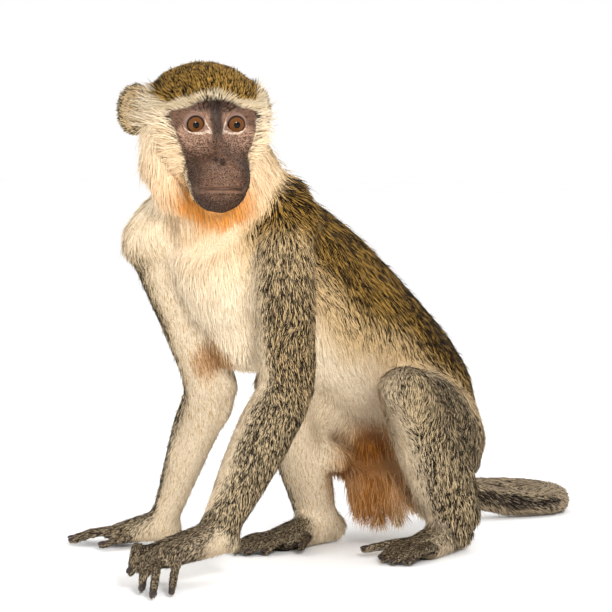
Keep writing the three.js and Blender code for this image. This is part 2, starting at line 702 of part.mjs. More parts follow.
const neckClear = cutAway(neckGrown, headLoft(), ruffEnvelope(1), ruffEnvelope(-1));
const cheek = (side) => join(ruffEnvelope(side, { share: 0.5, sides: 8 }), ruffLocks(side));
const cheekHair = cutAway(join(cheek(1), cheek(-1)), neckClear, trunkGrown, shoulders);
place("head", head(join(cheekHair, browLocks())), "bare");
place("neck", cutAway(neckLoft(), trunkGrown, shoulders, headGrown), "cream");
for (const [name, side] of [["left", 1], ["right", -1]]) {
  place(`eye_${name}`, eyeBall(side), "eye");
  place(`ear_${name}`, ear(side, headGrown, neckGrown), "bare");
}

for (const side of SIDES) {
  const elbowAlong = minus(WRIST[side], SHOULDER[side]);
  const [lower, upper] = part(arms[side], ELBOW[side], elbowAlong);
  const palmGrown = palmLoft(side, CLEAR);
  place(`upper_arm_${side}`, upper, "grey");
  const wrist = mix(ELBOW[side], WRIST[side], WRIST_CUT);
  const [hand, forearm] = part(join(lower, palmLoft(side)), wrist, minus(WRIST[side], ELBOW[side]));
  place(`forearm_${side}`, forearm, "grey");
  place(`hand_${side}`, onFloor(hand), "grey");
  fingers(side).forEach(({ root, tip, radius, arch }, i) => {
    place(`finger_${side}_${DIGITS[i]}`, onFloor(cutAway(digit(root, tip, radius, arch), palmGrown)), "bare");
  });

  const thighGrown = thighLoft(side, CLEAR);
  const shankGrown = shankLoft(side, CLEAR);
  place(`thigh_${side}`, cutAway(thighLoft(side), trunkGrown), "grey");
  place(`shank_${side}`, cutAway(shankLoft(side), thighGrown, trunkGrown), "grey");
  const footGrown = footLoft(side, CLEAR);
  place(`foot_${side}`, onFloor(cutAway(footLoft(side), shankGrown, thighGrown)), "grey");
  toes(side).forEach(({ root, tip, radius, arch }, i) => {
    place(`toe_${side}_${DIGITS[i]}`, onFloor(cutAway(digit(root, tip, radius, arch), footGrown)), "bare");
  });
}

for (let i = 0; i < TAIL_CUTS.length - 1; i++) {
  const from = TAIL_CUTS[i] + (i ? TAIL_PARTING : 0);
  const dome = [0, i === TAIL_CUTS.length - 2 ? 8 : 0];
  const length = loft(TAIL, { rings: 7, sides: 8, front: UP, from, to: TAIL_CUTS[i + 1], dome });
  place(`tail_${i + 1}`, onFloor(cutAway(solid(length), trunkGrown)), "grey");
}

// The origin moves to the middle of the model's box, at the floor.
const box = new THREE.Box3().setFromObject(monkey);
monkey.position.set(-(box.min.x + box.max.x) / 2, -(box.min.y + box.max.y) / 2, -box.min.z);

export default monkey;
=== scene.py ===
import functools
import math

import bmesh
import bpy
import numpy as np
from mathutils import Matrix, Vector
from mathutils.bvhtree import BVHTree


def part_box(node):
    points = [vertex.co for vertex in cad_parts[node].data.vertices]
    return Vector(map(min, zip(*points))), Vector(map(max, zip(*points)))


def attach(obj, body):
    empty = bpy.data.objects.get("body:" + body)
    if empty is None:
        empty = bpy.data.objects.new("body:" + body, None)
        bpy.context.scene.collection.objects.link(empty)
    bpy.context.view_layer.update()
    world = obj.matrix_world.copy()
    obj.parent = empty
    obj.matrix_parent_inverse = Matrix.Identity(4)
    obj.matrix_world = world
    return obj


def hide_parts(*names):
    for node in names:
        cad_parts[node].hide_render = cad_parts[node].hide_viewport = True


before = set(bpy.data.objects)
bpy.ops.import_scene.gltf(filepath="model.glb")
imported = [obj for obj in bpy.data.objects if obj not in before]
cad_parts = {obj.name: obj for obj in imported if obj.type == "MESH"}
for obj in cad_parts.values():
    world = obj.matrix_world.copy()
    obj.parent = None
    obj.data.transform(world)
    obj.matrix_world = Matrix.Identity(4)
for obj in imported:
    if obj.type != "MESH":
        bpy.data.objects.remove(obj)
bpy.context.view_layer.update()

bl_info = {
    "name": "Vervet monkey",
    "version": (1, 0, 0),
    "blender": (4, 5, 0),
    "location": "View3D > Sidebar > Monkey",
    "description": "Dresses the seated monkey's frame with skin, coat, eyes and nails",
    "category": "Object",
}

MM = 0.001
SEED = 7


def paint(code):
    """A colour written as six hexadecimal digits, as the linear values that Blender works in."""
    channels = [int(code[i : i + 2], 16) / 255 for i in (0, 2, 4)]
    return tuple(c / 12.92 if c <= 0.04045 else ((c + 0.055) / 1.055) ** 2.4 for c in channels)


# ---------- the head's own frame: s to the animal's left, f out of the face, h up, in millimetres ----------
EYE_FORWARD = 34.5
EYE_SPREAD = 16.5
EYE_RADIUS = 9.5
ROUND = 96  # points round the head's and the eyes' rings
HEAD_PITCH = math.radians(10)
HEAD_PLACE = (-15.2, -117.9, 366.0)  # the head's centre in the pose's own coordinates, millimetres


def middle(name):
    low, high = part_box(name)
    return np.array((low + high) / 2)


def head_axes():
    """The centre of the head in metres, and its sideways, forward and upward directions."""
    left, right = middle("eye_left"), middle("eye_right")
    side = (left - right) / np.linalg.norm(left - right)
    level = np.cross(side, (0, 0, 1))
    forward = level * math.cos(HEAD_PITCH) - np.array((0, 0, 1)) * math.sin(HEAD_PITCH)
    up = np.cross(forward, side)
    centre = (left + right) / 2 - forward * EYE_FORWARD * MM
    return centre, np.stack([side, forward, up])


HEAD_CENTRE, HEAD_AXES = head_axes()
POSE_SHIFT = HEAD_CENTRE - np.array(HEAD_PLACE) * MM


def on_head(points):
    """Head coordinates in millimetres to metres in the frame."""
    return HEAD_CENTRE + (np.asarray(points, float) * MM) @ HEAD_AXES


def to_head(points):
    """Metres in the frame to head coordinates in millimetres."""
    return ((points - HEAD_CENTRE) @ HEAD_AXES.T) / MM


def in_pose(point):
    """A point of the pose, in millimetres, as metres in the frame."""
    return np.asarray(point, float) * MM + POSE_SHIFT


# ---------- arrays of points ----------
def unit(vectors):
    return vectors / np.maximum(np.linalg.norm(vectors, axis=-1, keepdims=True), 1e-12)


def dot(a, b):
    return np.sum(a * b, axis=-1)


def step(low, high, value):
    """0 below low, 1 above high, smooth between. low may be the larger of the two."""
    t = np.clip((value - low) / (high - low), 0, 1)
    return t * t * (3 - 2 * t)


def spread_curve(points, count):
    """A smooth curve through the points, sampled evenly along its parameter."""
    p = np.asarray(points, float)
    p = np.vstack([2 * p[0] - p[1], p, 2 * p[-1] - p[-2]])
    place = np.linspace(0, len(p) - 3, count)
    i = np.minimum(place.astype(int), len(p) - 4)
    t = (place - i)[:, None]
    a, b, c, d = p[i], p[i + 1], p[i + 2], p[i + 3]
    return 0.5 * (2 * b + (c - a) * t + (2 * a - 5 * b + 4 * c - d) * t**2 + (3 * b - a - 3 * c + d) * t**3)


def tri_edges(tris):
    pairs = np.vstack([tris[:, [0, 1]], tris[:, [1, 2]], tris[:, [2, 0]]])
    return np.unique(np.sort(pairs, axis=1), axis=0)


def gather(index, values, size):
    return np.stack([np.bincount(index, values[:, k], size) for k in range(values.shape[1])], axis=1)


def smooth(values, edges, rounds, amount=0.5):
    """Evens values over the surface. amount may differ from point to point."""
    size = len(values)
    count = np.maximum(np.bincount(edges.ravel(), minlength=size), 1)[:, None]
    amount = np.broadcast_to(np.reshape(amount, (-1, 1)), (size, 1))
    for _ in range(rounds):
        total = sum(gather(edges[:, k], values[edges[:, 1 - k]], size) for k in (0, 1))
        values = values + (total / count - values) * amount
    return values


def normals_of(points, tris):
    a, b, c = (points[tris[:, k]] for k in range(3))
    face = np.cross(b - a, c - a)
    size = len(points)
    return unit(sum(gather(tris[:, k], face, size) for k in range(3)))


def hill(distance, width):
    """1 at a form's middle, falling off softly over its width."""
    return np.exp(-((distance / width) ** 2))


def ripple(points, scale, seed):
    """Smooth noise of about -1 to 1, with hills of about `scale` metres."""
    rng = np.random.default_rng(seed)
    waves = unit(rng.normal(size=(7, 3))) * rng.uniform(0.6, 1.6, (7, 1)) / scale
    return np.sin(points @ waves.T * 2.2 + rng.uniform(0, 6.3, 7)).sum(axis=1) / 3.2


def node_arrays(name):
    """Points and triangles of a node of the frame."""
    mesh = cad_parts[name].data
    return mesh_arrays(mesh)


def mesh_arrays(mesh):
    mesh.calc_loop_triangles()
    points = np.empty(len(mesh.vertices) * 3)
    mesh.vertices.foreach_get("co", points)
    tris = np.empty(len(mesh.loop_triangles) * 3, np.int32)
    mesh.loop_triangles.foreach_get("vertices", tris)
    return points.reshape(-1, 3), tris.reshape(-1, 3)


def new_mesh(name, points, tris):
    mesh = bpy.data.meshes.new(name)
    mesh.vertices.add(len(points))
    mesh.vertices.foreach_set("co", np.asarray(points, np.float32).ravel())
    mesh.loops.add(len(tris) * 3)
    mesh.loops.foreach_set("vertex_index", np.asarray(tris, np.int32).ravel())
    mesh.polygons.add(len(tris))
    mesh.polygons.foreach_set("loop_start", np.arange(len(tris), dtype=np.int32) * 3)
    mesh.update(calc_edges=True)
    mesh.shade_smooth()
    return mesh


def show(name, mesh, *materials):
    """A mesh as a piece that rides on the frame."""
    for material in materials:
        mesh.materials.append(material)
    piece = bpy.data.objects.new(name, mesh)
    bpy.context.scene.collection.objects.link(piece)
    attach(piece, "root")
    return piece


def point_colours(mesh, name, colours):
    layer = mesh.color_attributes.new(name, "FLOAT_COLOR", "POINT")
    rgba = np.ones((len(colours), 4), np.float32)
    rgba[:, :3] = np.clip(colours, 0, 1)
    layer.data.foreach_set("color", rgba.ravel())


# ---------- bones, found from where the frame's nodes meet ----------
SIDES = ("left", "right")
DIGITS = ("first", "second", "third", "fourth", "fifth")
LIMBS = [("chest", "upper_arm", "forearm", "hand"), ("pelvis", "thigh", "shank", "foot")]
LIMB_KINDS = ("upper_arm", "forearm", "thigh", "shank")
END_KINDS = ("hand", "foot", "finger", "toe")
SPINE = ("head", "neck", "chest", "abdomen", "pelvis", "tail_1")
TAIL_PATH = [
    (27, 150, 108), (16, 180, 90), (2, 203, 62), (0, 222, 38), (18, 246, 22), (46, 273, 13),
    (63, 306, 11), (54, 334, 11), (27, 355, 11), (-10, 356, 11), (-56, 333, 11), (-97, 313, 11),
    (-129, 318, 11), (-137, 346, 11), (-111, 375, 11), (-81, 392, 11), (-74, 396, 11),
]


@functools.cache
def tree_of(name):
    points, tris = node_arrays(name)
    return BVHTree.FromPolygons(points.tolist(), tris.tolist())


def meeting(a, b):
    """The middle of the face where two nodes touch: the points of one that are nearest to the other."""
    points, _ = node_arrays(a)
    gap = np.array([tree_of(b).find_nearest(Vector(p))[3] for p in points])
    if gap.min() > 6 * MM:
        raise RuntimeError(f"{a} and {b} don't touch")
    return points[gap < max(gap.min() * 1.5, 3 * MM)].mean(axis=0)


def farthest(name, start):
    points, _ = node_arrays(name)
    return points[np.argmax(np.linalg.norm(points - start, axis=1))]


@functools.cache
def bones():
    """Every bone as (kind, side, start, end). The hair lies from start to end."""
    found = []
    for before, name, after in zip(SPINE, SPINE[1:], SPINE[2:]):
        found.append((name, "", meeting(name, before), meeting(name, after)))
    path = [in_pose(p) for p in TAIL_PATH]
    found += [("tail", "", a, b) for a, b in zip(path, path[1:])]
    for side in SIDES:
        for trunk, *parts in LIMBS:
            names = [f"{part}_{side}" for part in parts]
            joints = [meeting(names[0], trunk)] + [meeting(b, a) for a, b in zip(names, names[1:])]
            joints.append(farthest(names[-1], joints[-1]))
            joints[0] = joints[0] + (joints[0] - joints[1]) * 0.35
            found += [(part, side, a, b) for part, a, b in zip(parts, joints, joints[1:])]
            digit = "finger" if trunk == "chest" else "toe"
            for order in DIGITS:
                name = f"{digit}_{side}_{order}"
                root = meeting(name, names[-1])
                found.append((digit, side, root, farthest(name, root)))
    return found


def reach(points, start, end):
    """Distance to a bone, and how far along it, 0 to 1, for each point."""
    along = end - start
    t = np.clip(dot(points - start, along) / dot(along, along), 0, 1)
    foot = start + t[:, None] * along
    return np.linalg.norm(points - foot, axis=1), t, foot


# How each stretch of the body is built: its thickness about the bone (mm), how far the skin lies inside the
# coat's tips (mm), then its tufts' length and width (mm), lift (degrees) and how many lie over one another.
BUILD = {
    "neck": (46, 7, 15, 0.65, 18, 4.6),
    "chest": (62, 4, 12, 0.65, 13, 3.5),
    "abdomen": (64, 4, 10.5, 0.65, 13, 3.4),
    "pelvis": (58, 4, 9.5, 0.62, 13, 3.5),
    "tail": (13, 2, 7, 0.62, 13, 2.8),
    "upper_arm": (27, 2.4, 7, 0.6, 14, 3.4),
    "forearm": (22, 2.2, 6, 0.58, 14, 3.2),
    "hand": (13, 0.8, 4.5, 0.5, 17, 3.0),
    "finger": (5, 0.3, 3.0, 0.42, 19, 3.0),
    "thigh": (40, 2.6, 8, 0.62, 14, 3.5),
    "shank": (26, 2.4, 7, 0.6, 14, 3.3),
    "foot": (14, 0.8, 4.5, 0.5, 17, 3.0),
    "toe": (5, 0.3, 3.0, 0.42, 19, 3.0),
}


@functools.cache
def closeness_columns():
    return [(kind, side, a, b, BUILD[kind][0] * MM) for kind, side, a, b in bones()]


def closeness(points, sharpness=6):
    """How much each bone rules each point: one row per point, rows adding up to 1."""
    columns = []
    for _, _, a, b, thick in closeness_columns():
        away = reach(points, a, b)[0] / thick
        columns.append(1 / np.maximum(away, 0.05) ** sharpness)
    share = np.stack(columns, axis=1)
    return share / share.sum(axis=1, keepdims=True)


def share_of(share, *kinds):
    """The summed share of the bones of these kinds."""
    chosen = [i for i, bone in enumerate(bones()) if bone[0] in kinds]
    return share[:, chosen].sum(axis=1)


def ruled(share, values):
    """A value of each bone, mixed by the bones' shares."""
    return share @ np.asarray(values, float)


# ---------- the head ----------
# Stations from the back of the skull to the muzzle: forward, height of the centre, half width, and how far
# the head reaches above and below that height (mm).
SKULL = [
    (-51, 3, 16, 13, 14), (-43, 3, 36, 29, 31), (-25, 3, 47, 37, 44), (2, 3, 43, 35.5, 50),
    (21, 0, 39, 30, 52), (32, -8, 35.5, 26, 50), (41, -18, 32, 21, 45), (51, -30, 26.5, 20, 36.5),
    (62, -39, 24.8, 19, 28), (71, -42, 22, 17, 23), (77, -45, 14, 11, 14),
]
SKULL_ROWS = 90
SKULL_HEART = (0, 22, -14)  # every part of the head is seen from here
# Rounded forms on both sides of the face: half the distance between the two, their shift sideways, their
# forward and upward place, reach, and rise out of the head (mm).
FACE_PAIRS = (
    (17, 0, 39, -1, 13, -3.2),  # eye sockets
    (28, 0, 31, -13, 11, 2.4),  # cheekbones
    (23, 0, 50, -22, 9, -2.2),  # hollows beside the nose
    (5.2, -1, 71, -22, 3.0, 1.2),  # wings of the nose
    (15, 0, 72, -37, 9, 1.4),  # cushions of the upper lip
)
# The face's lines and places in head coordinates (mm).
BROW_LINE = [
    (-38, 14, 4), (-29, 27, 9), (-16, 35, 11.5), (0, 36, 11), (16, 35, 11.5), (29, 27, 9), (38, 14, 4),
]
NOSE_LINE = [(0, 38, 8), (0, 42, -1), (-0.5, 50, -10), (-1, 61, -16.5), (-1.3, 69.5, -19.5)]
NOSTRILS = ((0.8, 75, -24.4, 2.5), (-4.8, 74.2, -22.8, 2.1))  # place and radius
MOUTH_LINE = [(-18.5, 74.5, -46.6), (-14, 77.6, -45.6), (-7.5, 79.8, -44.9), (0, 80.4, -44.7)]
MOUTH_LINE += [(-s, f, h) for s, f, h in MOUTH_LINE[2::-1]]
MOUTH_LINE = [(s - 1.2, f, h) for s, f, h in MOUTH_LINE]
LID_OPENING = (6.8, 6.1)  # half width and half height, mm
INNER_CORNER = 3.2  # how much further the opening reaches towards the nose, mm


def skull_loft():
    """The bare head as one smooth closed tube."""
    rows = spread_curve(SKULL, SKULL_ROWS)
    angle = np.linspace(0, 2 * np.pi, ROUND, endpoint=False)
    rings = []
    for f, h, wide, above, below in rows:
        tall = np.where(np.sin(angle) > 0, above, below)
        rings.append(np.stack([wide * np.cos(angle), np.full(ROUND, f), h + tall * np.sin(angle)], axis=1))
    last = rows[-1]
    for share in (0.9, 0.7, 0.4, 0.05):
        cap = rings[SKULL_ROWS - 1].copy()
        cap[:, 0] *= share
        cap[:, 2] = last[1] + (cap[:, 2] - last[1]) * share
        cap[:, 1] += 3 * math.sqrt(1 - share**2)
        rings.append(cap)
    points = np.vstack(rings)
    quads = []
    for r in range(len(rings) - 1):
        for k in range(ROUND):
            a, b = r * ROUND + k, r * ROUND + (k + 1) % ROUND
            quads.append((a, b, b + ROUND, a + ROUND))
    back = list(range(ROUND - 1, -1, -1))
    front = [(len(rings) - 1) * ROUND + k for k in range(ROUND)]
    return BVHTree.FromPolygons(points.tolist(), quads + [back, front])


def head_directions():
    """A ball of evenly set directions, finer over the face, and finest at the eyes and the muzzle."""
    ball = bmesh.new()
    bmesh.ops.create_icosphere(ball, subdivisions=7, radius=1)
    face, muzzle = Vector((0, 0.95, -0.3)), Vector((0, 0.89, -0.45))
    eyes = [Vector((side * EYE_SPREAD, 20, 14)).normalized() for side in (1, -1)]
    for centres, spread in (([face], 0.45), ([muzzle] + eyes, 0.94)):
        inside = {v for v in ball.verts if max(v.co.normalized().dot(c) for c in centres) > spread}
        near = [e for e in ball.edges if inside.issuperset(e.verts)]
        bmesh.ops.subdivide_edges(ball, edges=near, cuts=1, use_grid_fill=True)
    bmesh.ops.triangulate(ball, faces=ball.faces)
    mesh = bpy.data.meshes.new("directions")
    ball.to_mesh(mesh)
    ball.free()
    points, tris = mesh_arrays(mesh)
    bpy.data.meshes.remove(mesh)
    return unit(points), tris


def away_from_line(points, line, count=60):
    """Distance to a curve, how far along it (0 to 1), and the offset from it."""
    curve = spread_curve(line, count)
    gap = np.full(len(points), 1e9)
    best = np.zeros(len(points), int)
    for k, p in enumerate(curve):
        d = np.linalg.norm(points - p, axis=1)
        closer = d < gap
        gap[closer] = d[closer]
        best[closer] = k
    return gap, best / (count - 1), points - curve[best]


def eye_view(points, side):
    """Coordinates about one eyeball: outward from the nose, forward, up."""
    local = points - np.array((side * EYE_SPREAD, EYE_FORWARD, 0))
    return np.stack([local[:, 0] * side, local[:, 1], local[:, 2]], axis=1)


def lid_gap(local):
    """Below 1 inside the opening between the lids, above 1 outside. The inner corner droops."""
    wide, high = LID_OPENING
    x = local[:, 0]
    inner = np.clip(-x / (wide + INNER_CORNER), 0, 1.2)
    z = local[:, 2] + 3.2 * inner**3
    x = x / np.where(x < 0, wide + INNER_CORNER, wide)
    narrow = 1 - 0.45 * np.clip(inner - 0.55, 0, 0.45) / 0.45
    return (np.abs(x) ** 2.1 + np.abs(z / (high * narrow)) ** 2.0) ** 0.5


def face_forms(points, normals):
    """Moves the smooth head's points to give it brow, nose, cheeks, muzzle and lips."""
    move = np.zeros(len(points))
    gap, _, _ = away_from_line(points, BROW_LINE)
    move += 3.6 * hill(gap, 5.5)
    gap, along, _ = away_from_line(points, NOSE_LINE)
    wide = 4.6 + 4.2 * along
    move += (1.6 + 3.0 * along) * hill(gap, wide)
    for side in (1, -1):
        for apart, shift, f, h, reach_of_form, rise in FACE_PAIRS:
            away = np.linalg.norm(points - np.array((side * apart + shift, f, h)), axis=1)
            move += rise * hill(away, reach_of_form)
    for s, f, h, r in NOSTRILS:
        pit = (points - np.array((s, f, h))) / np.array((r, 5.0, r * 1.25))
        move -= 3.4 * np.exp(-(np.sum(pit * pit, axis=1)) ** 2)
    gap, along, off = away_from_line(points, MOUTH_LINE)
    ends = step(0, 0.08, along) * step(1, 0.92, along)
    move += ends * 1.7 * np.exp(-(((off[:, 2] - 3.2) / 2.4) ** 2 + ((gap - 3.2) / 5) ** 2))
    move += ends * 1.5 * np.exp(-(((off[:, 2] + 3.0) / 2.2) ** 2 + ((gap - 3.0) / 5) ** 2))
    move -= 2.0 * (0.35 + 0.65 * ends) * hill(gap, 0.95)
    fine = ripple(points * MM, 0.006, 3) * 0.28 + ripple(points * MM, 0.0028, 4) * 0.14
    return points + normals * (move + fine)[:, None]


def round_eyes(points):
    """Drapes the lids over the eyeballs and opens them."""
    for side in (1, -1):
        local = eye_view(points, side)
        away = np.linalg.norm(local, axis=1)
        ray = local / away[:, None]
        gap = lid_gap(local)
        front = step(0.05, 0.45, ray[:, 1]) * step(21, 13, away)
        rim = 0.55 * np.exp(-(((gap - 1.13) / 0.1) ** 2))
        crease = 0.6 * np.exp(-(((gap - 1.62) / 0.12) ** 2)) * step(-3, 3, local[:, 2])
        lid = EYE_RADIUS + 0.75 + rim - crease + 0.9 * step(1.5, 2.2, gap)
        draped = np.where(away < lid, lid, away + (lid - away) * step(2.3, 1.4, gap))
        wall = np.clip((gap - 0.95) / 0.09, 0, 1)
        away_new = (EYE_RADIUS - 1.2) * (1 - wall) + draped * wall
        target = ray * (away + (away_new - away) * front)[:, None]
        centre = np.array((side * EYE_SPREAD, EYE_FORWARD, 0))
        moved = np.stack([target[:, 0] * side, target[:, 1], target[:, 2]], axis=1) + centre
        near = front > 0
        points[near] = moved[near]
    return points


@functools.cache
def head_shell():
    """The head's points in head coordinates (mm) and its triangles."""
    directions, tris = head_directions()
    tree = skull_loft()
    heart = Vector(SKULL_HEART)
    points = []
    for d in directions:
        hit = tree.ray_cast(heart + Vector(d) * 150, -Vector(d))[0]
        points.append(hit if hit is not None else heart + Vector(d) * 40)
    points = np.array([tuple(p) for p in points])
    edges = tri_edges(tris)
    points = smooth(points, edges, 14)
    points = face_forms(points, normals_of(points, tris))
    points = round_eyes(smooth(points, edges, 1, 0.3))
    return points, tris


# ---------- the body under the coat ----------
BODY_VOXEL = 0.0024
EAR_VOXEL = 0.0011
# Balls that fill the body out under the longer hair: centre and radius, mm.
NECK_CORE = [  # in the pose's coordinates
    ((-13, -90, 286), 50), ((-13, -95, 302), 54), ((-14, -101, 318), 55), ((-14, -105, 332), 51),
    ((-14, -109, 346), 46),
]
NECK_FLATNESS = (1, 1, 0.6)
GROIN_CORE = ((22, 16, 80), 15)
RUFF_CORE = [  # in head coordinates
    ((-32, 4, -18), 27), ((-32, 4, -36), 28), ((-26, 13, -52), 26), ((-12, 24, -60), 19),
    ((27, 4, -18), 25), ((27, 4, -36), 26), ((22, 13, -52), 23), ((10, 24, -60), 18),
]


def remeshed(parts, voxel):
    """One closed skin round several closed meshes, as points and triangles."""
    offset = 0
    all_points, all_tris = [], []
    for points, tris in parts:
        all_points.append(points)
        all_tris.append(tris + offset)
        offset += len(points)
    mesh = new_mesh("flesh", np.vstack(all_points), np.vstack(all_tris))
    block = bpy.data.objects.new("flesh", mesh)
    bpy.context.scene.collection.objects.link(block)
    remesh = block.modifiers.new("close", "REMESH")
    remesh.mode = "VOXEL"
    remesh.voxel_size = voxel
    evaluated = block.evaluated_get(bpy.context.evaluated_depsgraph_get())
    made = bpy.data.meshes.new_from_object(evaluated)
    points, tris = mesh_arrays(made)
    bpy.data.objects.remove(block)
    bpy.data.meshes.remove(mesh)
    bpy.data.meshes.remove(made)
    return points, tris


def ball_arrays(centre, radius, stretch=(1, 1, 1), subdivisions=4):
    ball = bmesh.new()
    bmesh.ops.create_icosphere(ball, subdivisions=subdivisions, radius=1)
    mesh = bpy.data.meshes.new("ball")
    ball.to_mesh(mesh)
    ball.free()
    points, tris = mesh_arrays(mesh)
    bpy.data.meshes.remove(mesh)
    return points * np.array(stretch) * radius + centre, tris


def swollen(name, by):
    """A node's points pushed outwards, so that it closes on its neighbours."""
    points, tris = node_arrays(name)
    return points + normals_of(points, tris) * by, tris


HEAD_NODES = ("head", "eye_left", "eye_right", "ear_left", "ear_right")


@functools.cache
def body_shell():
    """The skin of everything below the head, inside the coat by its depth: metres and triangles."""
    names = [n for n in sorted(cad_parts) if n not in HEAD_NODES]
    parts = [swollen(n, 0.8 * MM) for n in names]
    parts += [ball_arrays(in_pose(at), radius * MM, NECK_FLATNESS) for at, radius in NECK_CORE]
    parts.append(ball_arrays(in_pose(GROIN_CORE[0]), GROIN_CORE[1] * MM))
    parts += [ball_arrays(on_head(at), radius * MM) for at, radius in RUFF_CORE]
    points, tris = remeshed(parts, BODY_VOXEL)
    edges = tri_edges(tris)
    share = closeness(points)
    bare = share_of(share, *END_KINDS)
    furred = 1 - step(0.2, 0.8, bare)
    points = smooth(points, edges, 3)
    points = smooth(points, edges, 10, 0.5 * furred)
    for _ in range(30):  # evens the surface without thinning it
        points = smooth(smooth(points, edges, 1, 0.5 * furred), edges, 1, -0.52 * furred)
    share = closeness(points)
    depth = ruled(share, [BUILD[bone[0]][1] * MM for bone in bones()])
    points = points - normals_of(points, tris) * (depth + 0.8 * MM)[:, None]
    points = smooth(points, edges, 4, 0.5 * (1 - step(0.3, 0.9, bare)))
    points[:, 2] = np.maximum(points[:, 2], 0.0002)
    return points, tris


@functools.cache
def ear_shell(side):
    points, tris = remeshed([swollen(f"ear_{side}", 0)], EAR_VOXEL)
    points = smooth(points, tri_edges(tris), 5)
    heart = points.mean(axis=0)
    return heart + (points - heart) * 0.94, tris


# ---------- markings, worn by skin and coat alike ----------
# Heights of the markings' edges on the head, from the middle outwards (mm).
ACROSS = (0, 8, 14, 20, 29, 36, 46, 60)
BARE_TOP = (18, 17.5, 15.5, 13, 10.6, 8.5, 6, 6)
CROWN_EDGE = (20.5, 20, 18, 16.5, 15, 13.5, 22, 38)
FACE_HEIGHTS = (-70, -66, -60, -50, -36, -24, -12, 0, 9, 13)
FACE_WIDTHS = (0, 10, 17, 22.5, 25.5, 25.5, 29.5, 33.5, 35, 33)
THROAT = (-2, 38, -58)


def head_zones(at):
    """Masks over the head, from head coordinates: bare face, brow band, crown, temple."""
    s, f, h = at.T
    across = np.abs(s)
    uneven = 0.7 * ripple(at * MM, 0.006, 12)
    top, edge = np.interp(across, ACROSS, BARE_TOP), np.interp(across, ACROSS, CROWN_EDGE) + uneven
    side = step(2.6, -1.6, across - np.interp(h, FACE_HEIGHTS, FACE_WIDTHS) + uneven)
    bare = side * step(1.8, -1.4, h - top) * step(4, 12, f)
    band = step(-1.5, 1.0, h - top + uneven) * step(1.5, -1.0, h - edge)
    band = band * step(-6, 4, f) * step(44, 38, across)
    nape = step(-30, -42, f + 0.25 * h)
    crown = np.maximum(step(-1.0, 1.5, h - edge - 3.0 * step(8, -10, f)), nape)
    outer = np.stack([np.sign(s) * 31.5, s * 0 + 28, s * 0 + 5], axis=1)
    temple = step(7, 3, np.linalg.norm((at - outer) / np.array((1, 1.3, 1.1)), axis=1))
    return bare, band, crown, temple


def throat_glow(at):
    """How orange and how peach the hair is round the throat, from head coordinates."""
    away = np.linalg.norm((at - np.array(THROAT)) / np.array((1.5, 1, 1)), axis=1)
    return 0.95 * step(32, 12, away), step(85, 25, away)


DARK_SIDE = {"left": (1.0, -0.1, 0.25), "right": (-0.85, 0.25, 0.25)}  # where each limb's coat is darkest
DARK_TOP = (0, -0.2, 1)  # and that of every hand and foot
RIGHT_SHOULDER = (-0.6, 0.8, 0)  # the way the dark of the right shoulder faces


def body_zones(points, share):
    """How dorsal each point of the trunk is, and how far on the dark side of its limb, -1 to 1."""
    trunk_sum = np.zeros(len(points))
    at = to_head(points)
    by_face = step(92, 62, np.linalg.norm(at - np.array((0, 0, -10)), axis=1)) * step(-36, -16, at[:, 1])
    for k, (kind, _, a, b) in enumerate(bones()):
        if kind in ("chest", "abdomen", "pelvis", "neck"):
            radial = unit(points - reach(points, a, b)[2])
            back = unit(np.cross(unit(b - a), (-1.0, 0.0, 0.0)))
            back = back if back[2] > 0 else -back
            rise = dot(radial, back)
            if kind in ("neck", "chest"):
                left = step(0.2, 0.9, radial[:, 0])
                shoulder = np.maximum(left, step(0.6, 0.98, radial @ np.array(RIGHT_SHOULDER)))
                rise = rise + 0.9 * shoulder * (1 - by_face) - 0.7 * by_face
            trunk_sum += share[:, k] * rise
    limb_sum = np.zeros(len(points))
    for k, (kind, side, a, b) in enumerate(bones()):
        if side:
            radial = unit(points - reach(points, a, b)[2])
            darkest = DARK_SIDE[side] if kind in LIMB_KINDS else DARK_TOP
            limb_sum += share[:, k] * dot(radial, unit(np.array(darkest)))
    return trunk_sum, limb_sum


GROIN_HEART = (44, 36, 68)
FRINGE_SHIFT = (2, 6, -10)  # from there to the middle of the long hair
FRINGE_REACH = (40, 30, 34)
KNEES = ((107, -12, 142), (-6, -32, 144))
CHEST_TUFT = (-24, -111, 166)
TAIL_SHADE_SIDE = (0.55, -0.8, 0.22)  # the way the tail's painted shade faces: towards the camera
COLOURS = {  # six hexadecimal digits each
    "olive_dark": "1b1105", "gold": "ae8640", "tan": "cfb080", "cream": "f0dfc2", "white": "cbb999",
    "grey": "a8957a", "grey_dark": "1f170d", "pale_grey": "c2aa84", "straw": "b3925f",
    "pale_limb": "dccaae", "rufous": "7a4209", "orange": "dc8e35", "peach": "eccba0", "black": "17110d",
    "skin": "5f4230", "skin_dark": "2a1c14", "skin_pale": "9b7862", "lid_rim": "d6bda6",
    "lid_red": "8f7060", "muzzle": "735440", "mouth": "170e0b", "hand": "3c3025", "ear_skin": "564638",
    "iris": "5b3617", "pupil": "000000",
}


def tone(name):
    return np.array(getattr(bpy.context.scene.monkey_colours, name))


def plain(name, like):
    """One colour for every point."""
    return np.tile(tone(name), (len(like), 1))


def mixed(base, *layers):
    """Lays colours over a base one after another: each layer is a colour and a mask."""
    for colour, mask in layers:
        base = base + (np.asarray(colour) - base) * np.asarray(mask)[:, None]
    return base


